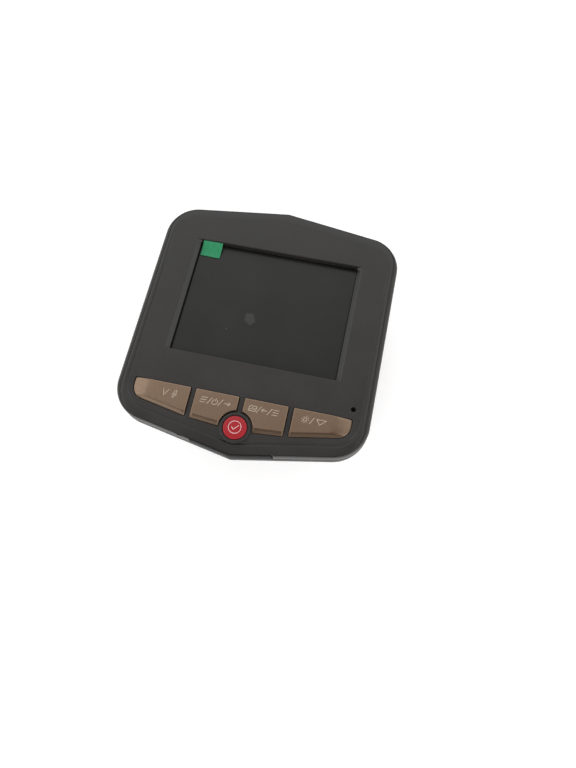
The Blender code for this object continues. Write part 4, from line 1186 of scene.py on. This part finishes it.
# Finish of each record slot, for the CAD nodes that stay as they are
SLOT_FINISH = {
    "face_plastic": "face", "case_plastic": "case", "rim_paint": "rim", "gloss_plastic": "gloss",
    "dark_nylon": "nylon", "clear_film": "film", "green_tape": "tape", "screen_glass": "display",
    "white_plastic": "white", "plated_steel": "plate", "foam": "foam", "flex_film": "flex",
    "chip_plastic": "chip", "board": "board", "battery_foil": "cell", "brass_can": "brass",
    "card_plastic": "card", "ring_metal": "ring", "lens_glass": "lens", "lamp_resin": "resin",
    "screw_steel": "screw", "red_plastic": "red", "key_finish": "bronze",
}
for part in frame["record"]["subparts"]:
    node = frame["nodes"][part["node"]]
    node.data.materials.clear()
    # A black acoustic gauze covers the top of the microphone's can
    finish = "gauze" if part["node"] == "microphone" else SLOT_FINISH[part["material_slot"]]
    node.data.materials.append(finishes[finish])


# Studio -----------------------------------------------------------------------------------


FLOOR_REACH = 2000.0


def pale_floor():
    """A wide white card: a level grid with a hardly visible unevenness of shade."""
    material, tree, shader, place = blank("white_card", Roughness=0.9, Specular_IOR_Level=0.1,
                                          Emission_Color=linear("#FFFFFF"), Emission_Strength=0.25)
    cloud = add(tree, "ShaderNodeTexNoise", {"Vector": place, "Scale": 3.0, "Detail": 2.0})
    surface(tree, shader, (cloud.outputs["Fac"], 0, 1), "#F6F6F6", "#FAFAFA")
    span = np.linspace(-FLOOR_REACH, FLOOR_REACH, 9)
    xx, yy = np.meshgrid(span, span)
    card = mesh_object("floor_card", [skin(np.stack([xx, yy, np.zeros_like(xx)], -1), wrap=False)])
    card.data.materials.append(material)


def soft_light(name, place, size, power, mirrored):
    """A square softbox at a place in metres, turned towards the case; power in watts.

    Only a mirrored one shows in glossy surfaces.
    """
    light = bpy.data.lights.new(name, "AREA")
    light.size = size
    light.energy = power
    made = linked(name, light)
    made.location = place
    made.rotation_euler = (-Vector(place)).to_track_quat("-Z", "Y").to_euler()
    made.visible_glossy = mirrored


# Darker patches of the room: direction of the middle, tint, and the cosines between which it fades in
PATCHES = (((0.083, -0.32, 0.944), "#5E4C43", 0.6, 0.93),
           ((0.0, -0.72, 0.69), "#140F0C", 0.86, 0.96))


def studio_room():
    """White room with a warm, darker patch overhead and a dark one at the front, where somebody
    stands: each patch's share grows with the cosine of the angle to its middle."""
    world = bpy.data.worlds.new("studio_room")
    world.use_nodes = True
    tree = world.node_tree
    way = add(tree, "ShaderNodeTexCoord").outputs["Generated"]
    colour = linear("#FFFFFF")
    for middle, tint, start, stop in PATCHES:
        towards = add(tree, "ShaderNodeVectorMath", {0: way, 1: middle}, operation="DOT_PRODUCT")
        share = add(tree, "ShaderNodeMapRange", {"Value": towards.outputs["Value"], "From Min": start,
                                                 "From Max": stop})
        mixed = add(tree, "ShaderNodeMix", {0: share.outputs["Result"], 6: colour, 7: linear(tint)},
                    data_type="RGBA")
        colour = mixed.outputs[2]
    background = tree.nodes["Background"]
    tree.links.new(colour, background.inputs["Color"])
    background.inputs["Strength"].default_value = 1.05
    bpy.context.scene.world = world


pale_floor()
soft_light("front_fill", (0.15, -0.7, 0.9), 1.2, 9.0, False)
soft_light("left_glint", (-0.72, -0.2, 0.3), 0.2, 0.35, True)
soft_light("right_glint", (0.68, -0.2, 0.4), 0.2, 0.35, True)
studio_room()
scene = bpy.context.scene
scene.view_settings.view_transform = "Standard"

# Camera: above the lower right of the case, looking down and turned a little about its axis
camera = linked("camera", bpy.data.cameras.new("camera"))
camera.data.sensor_width = 36.0
camera.data.lens = 27.23
camera.data.clip_start = 0.01
right = Vector((0.97778, 0.20917, -0.01377))
back = Vector((0.08171, -0.31981, 0.94395))
turn = Matrix((right, back.cross(right), back)).transposed().to_4x4()
camera.matrix_world = Matrix.Translation((0.022617, -0.062088, 0.170164)) @ turn
scene.camera = camera
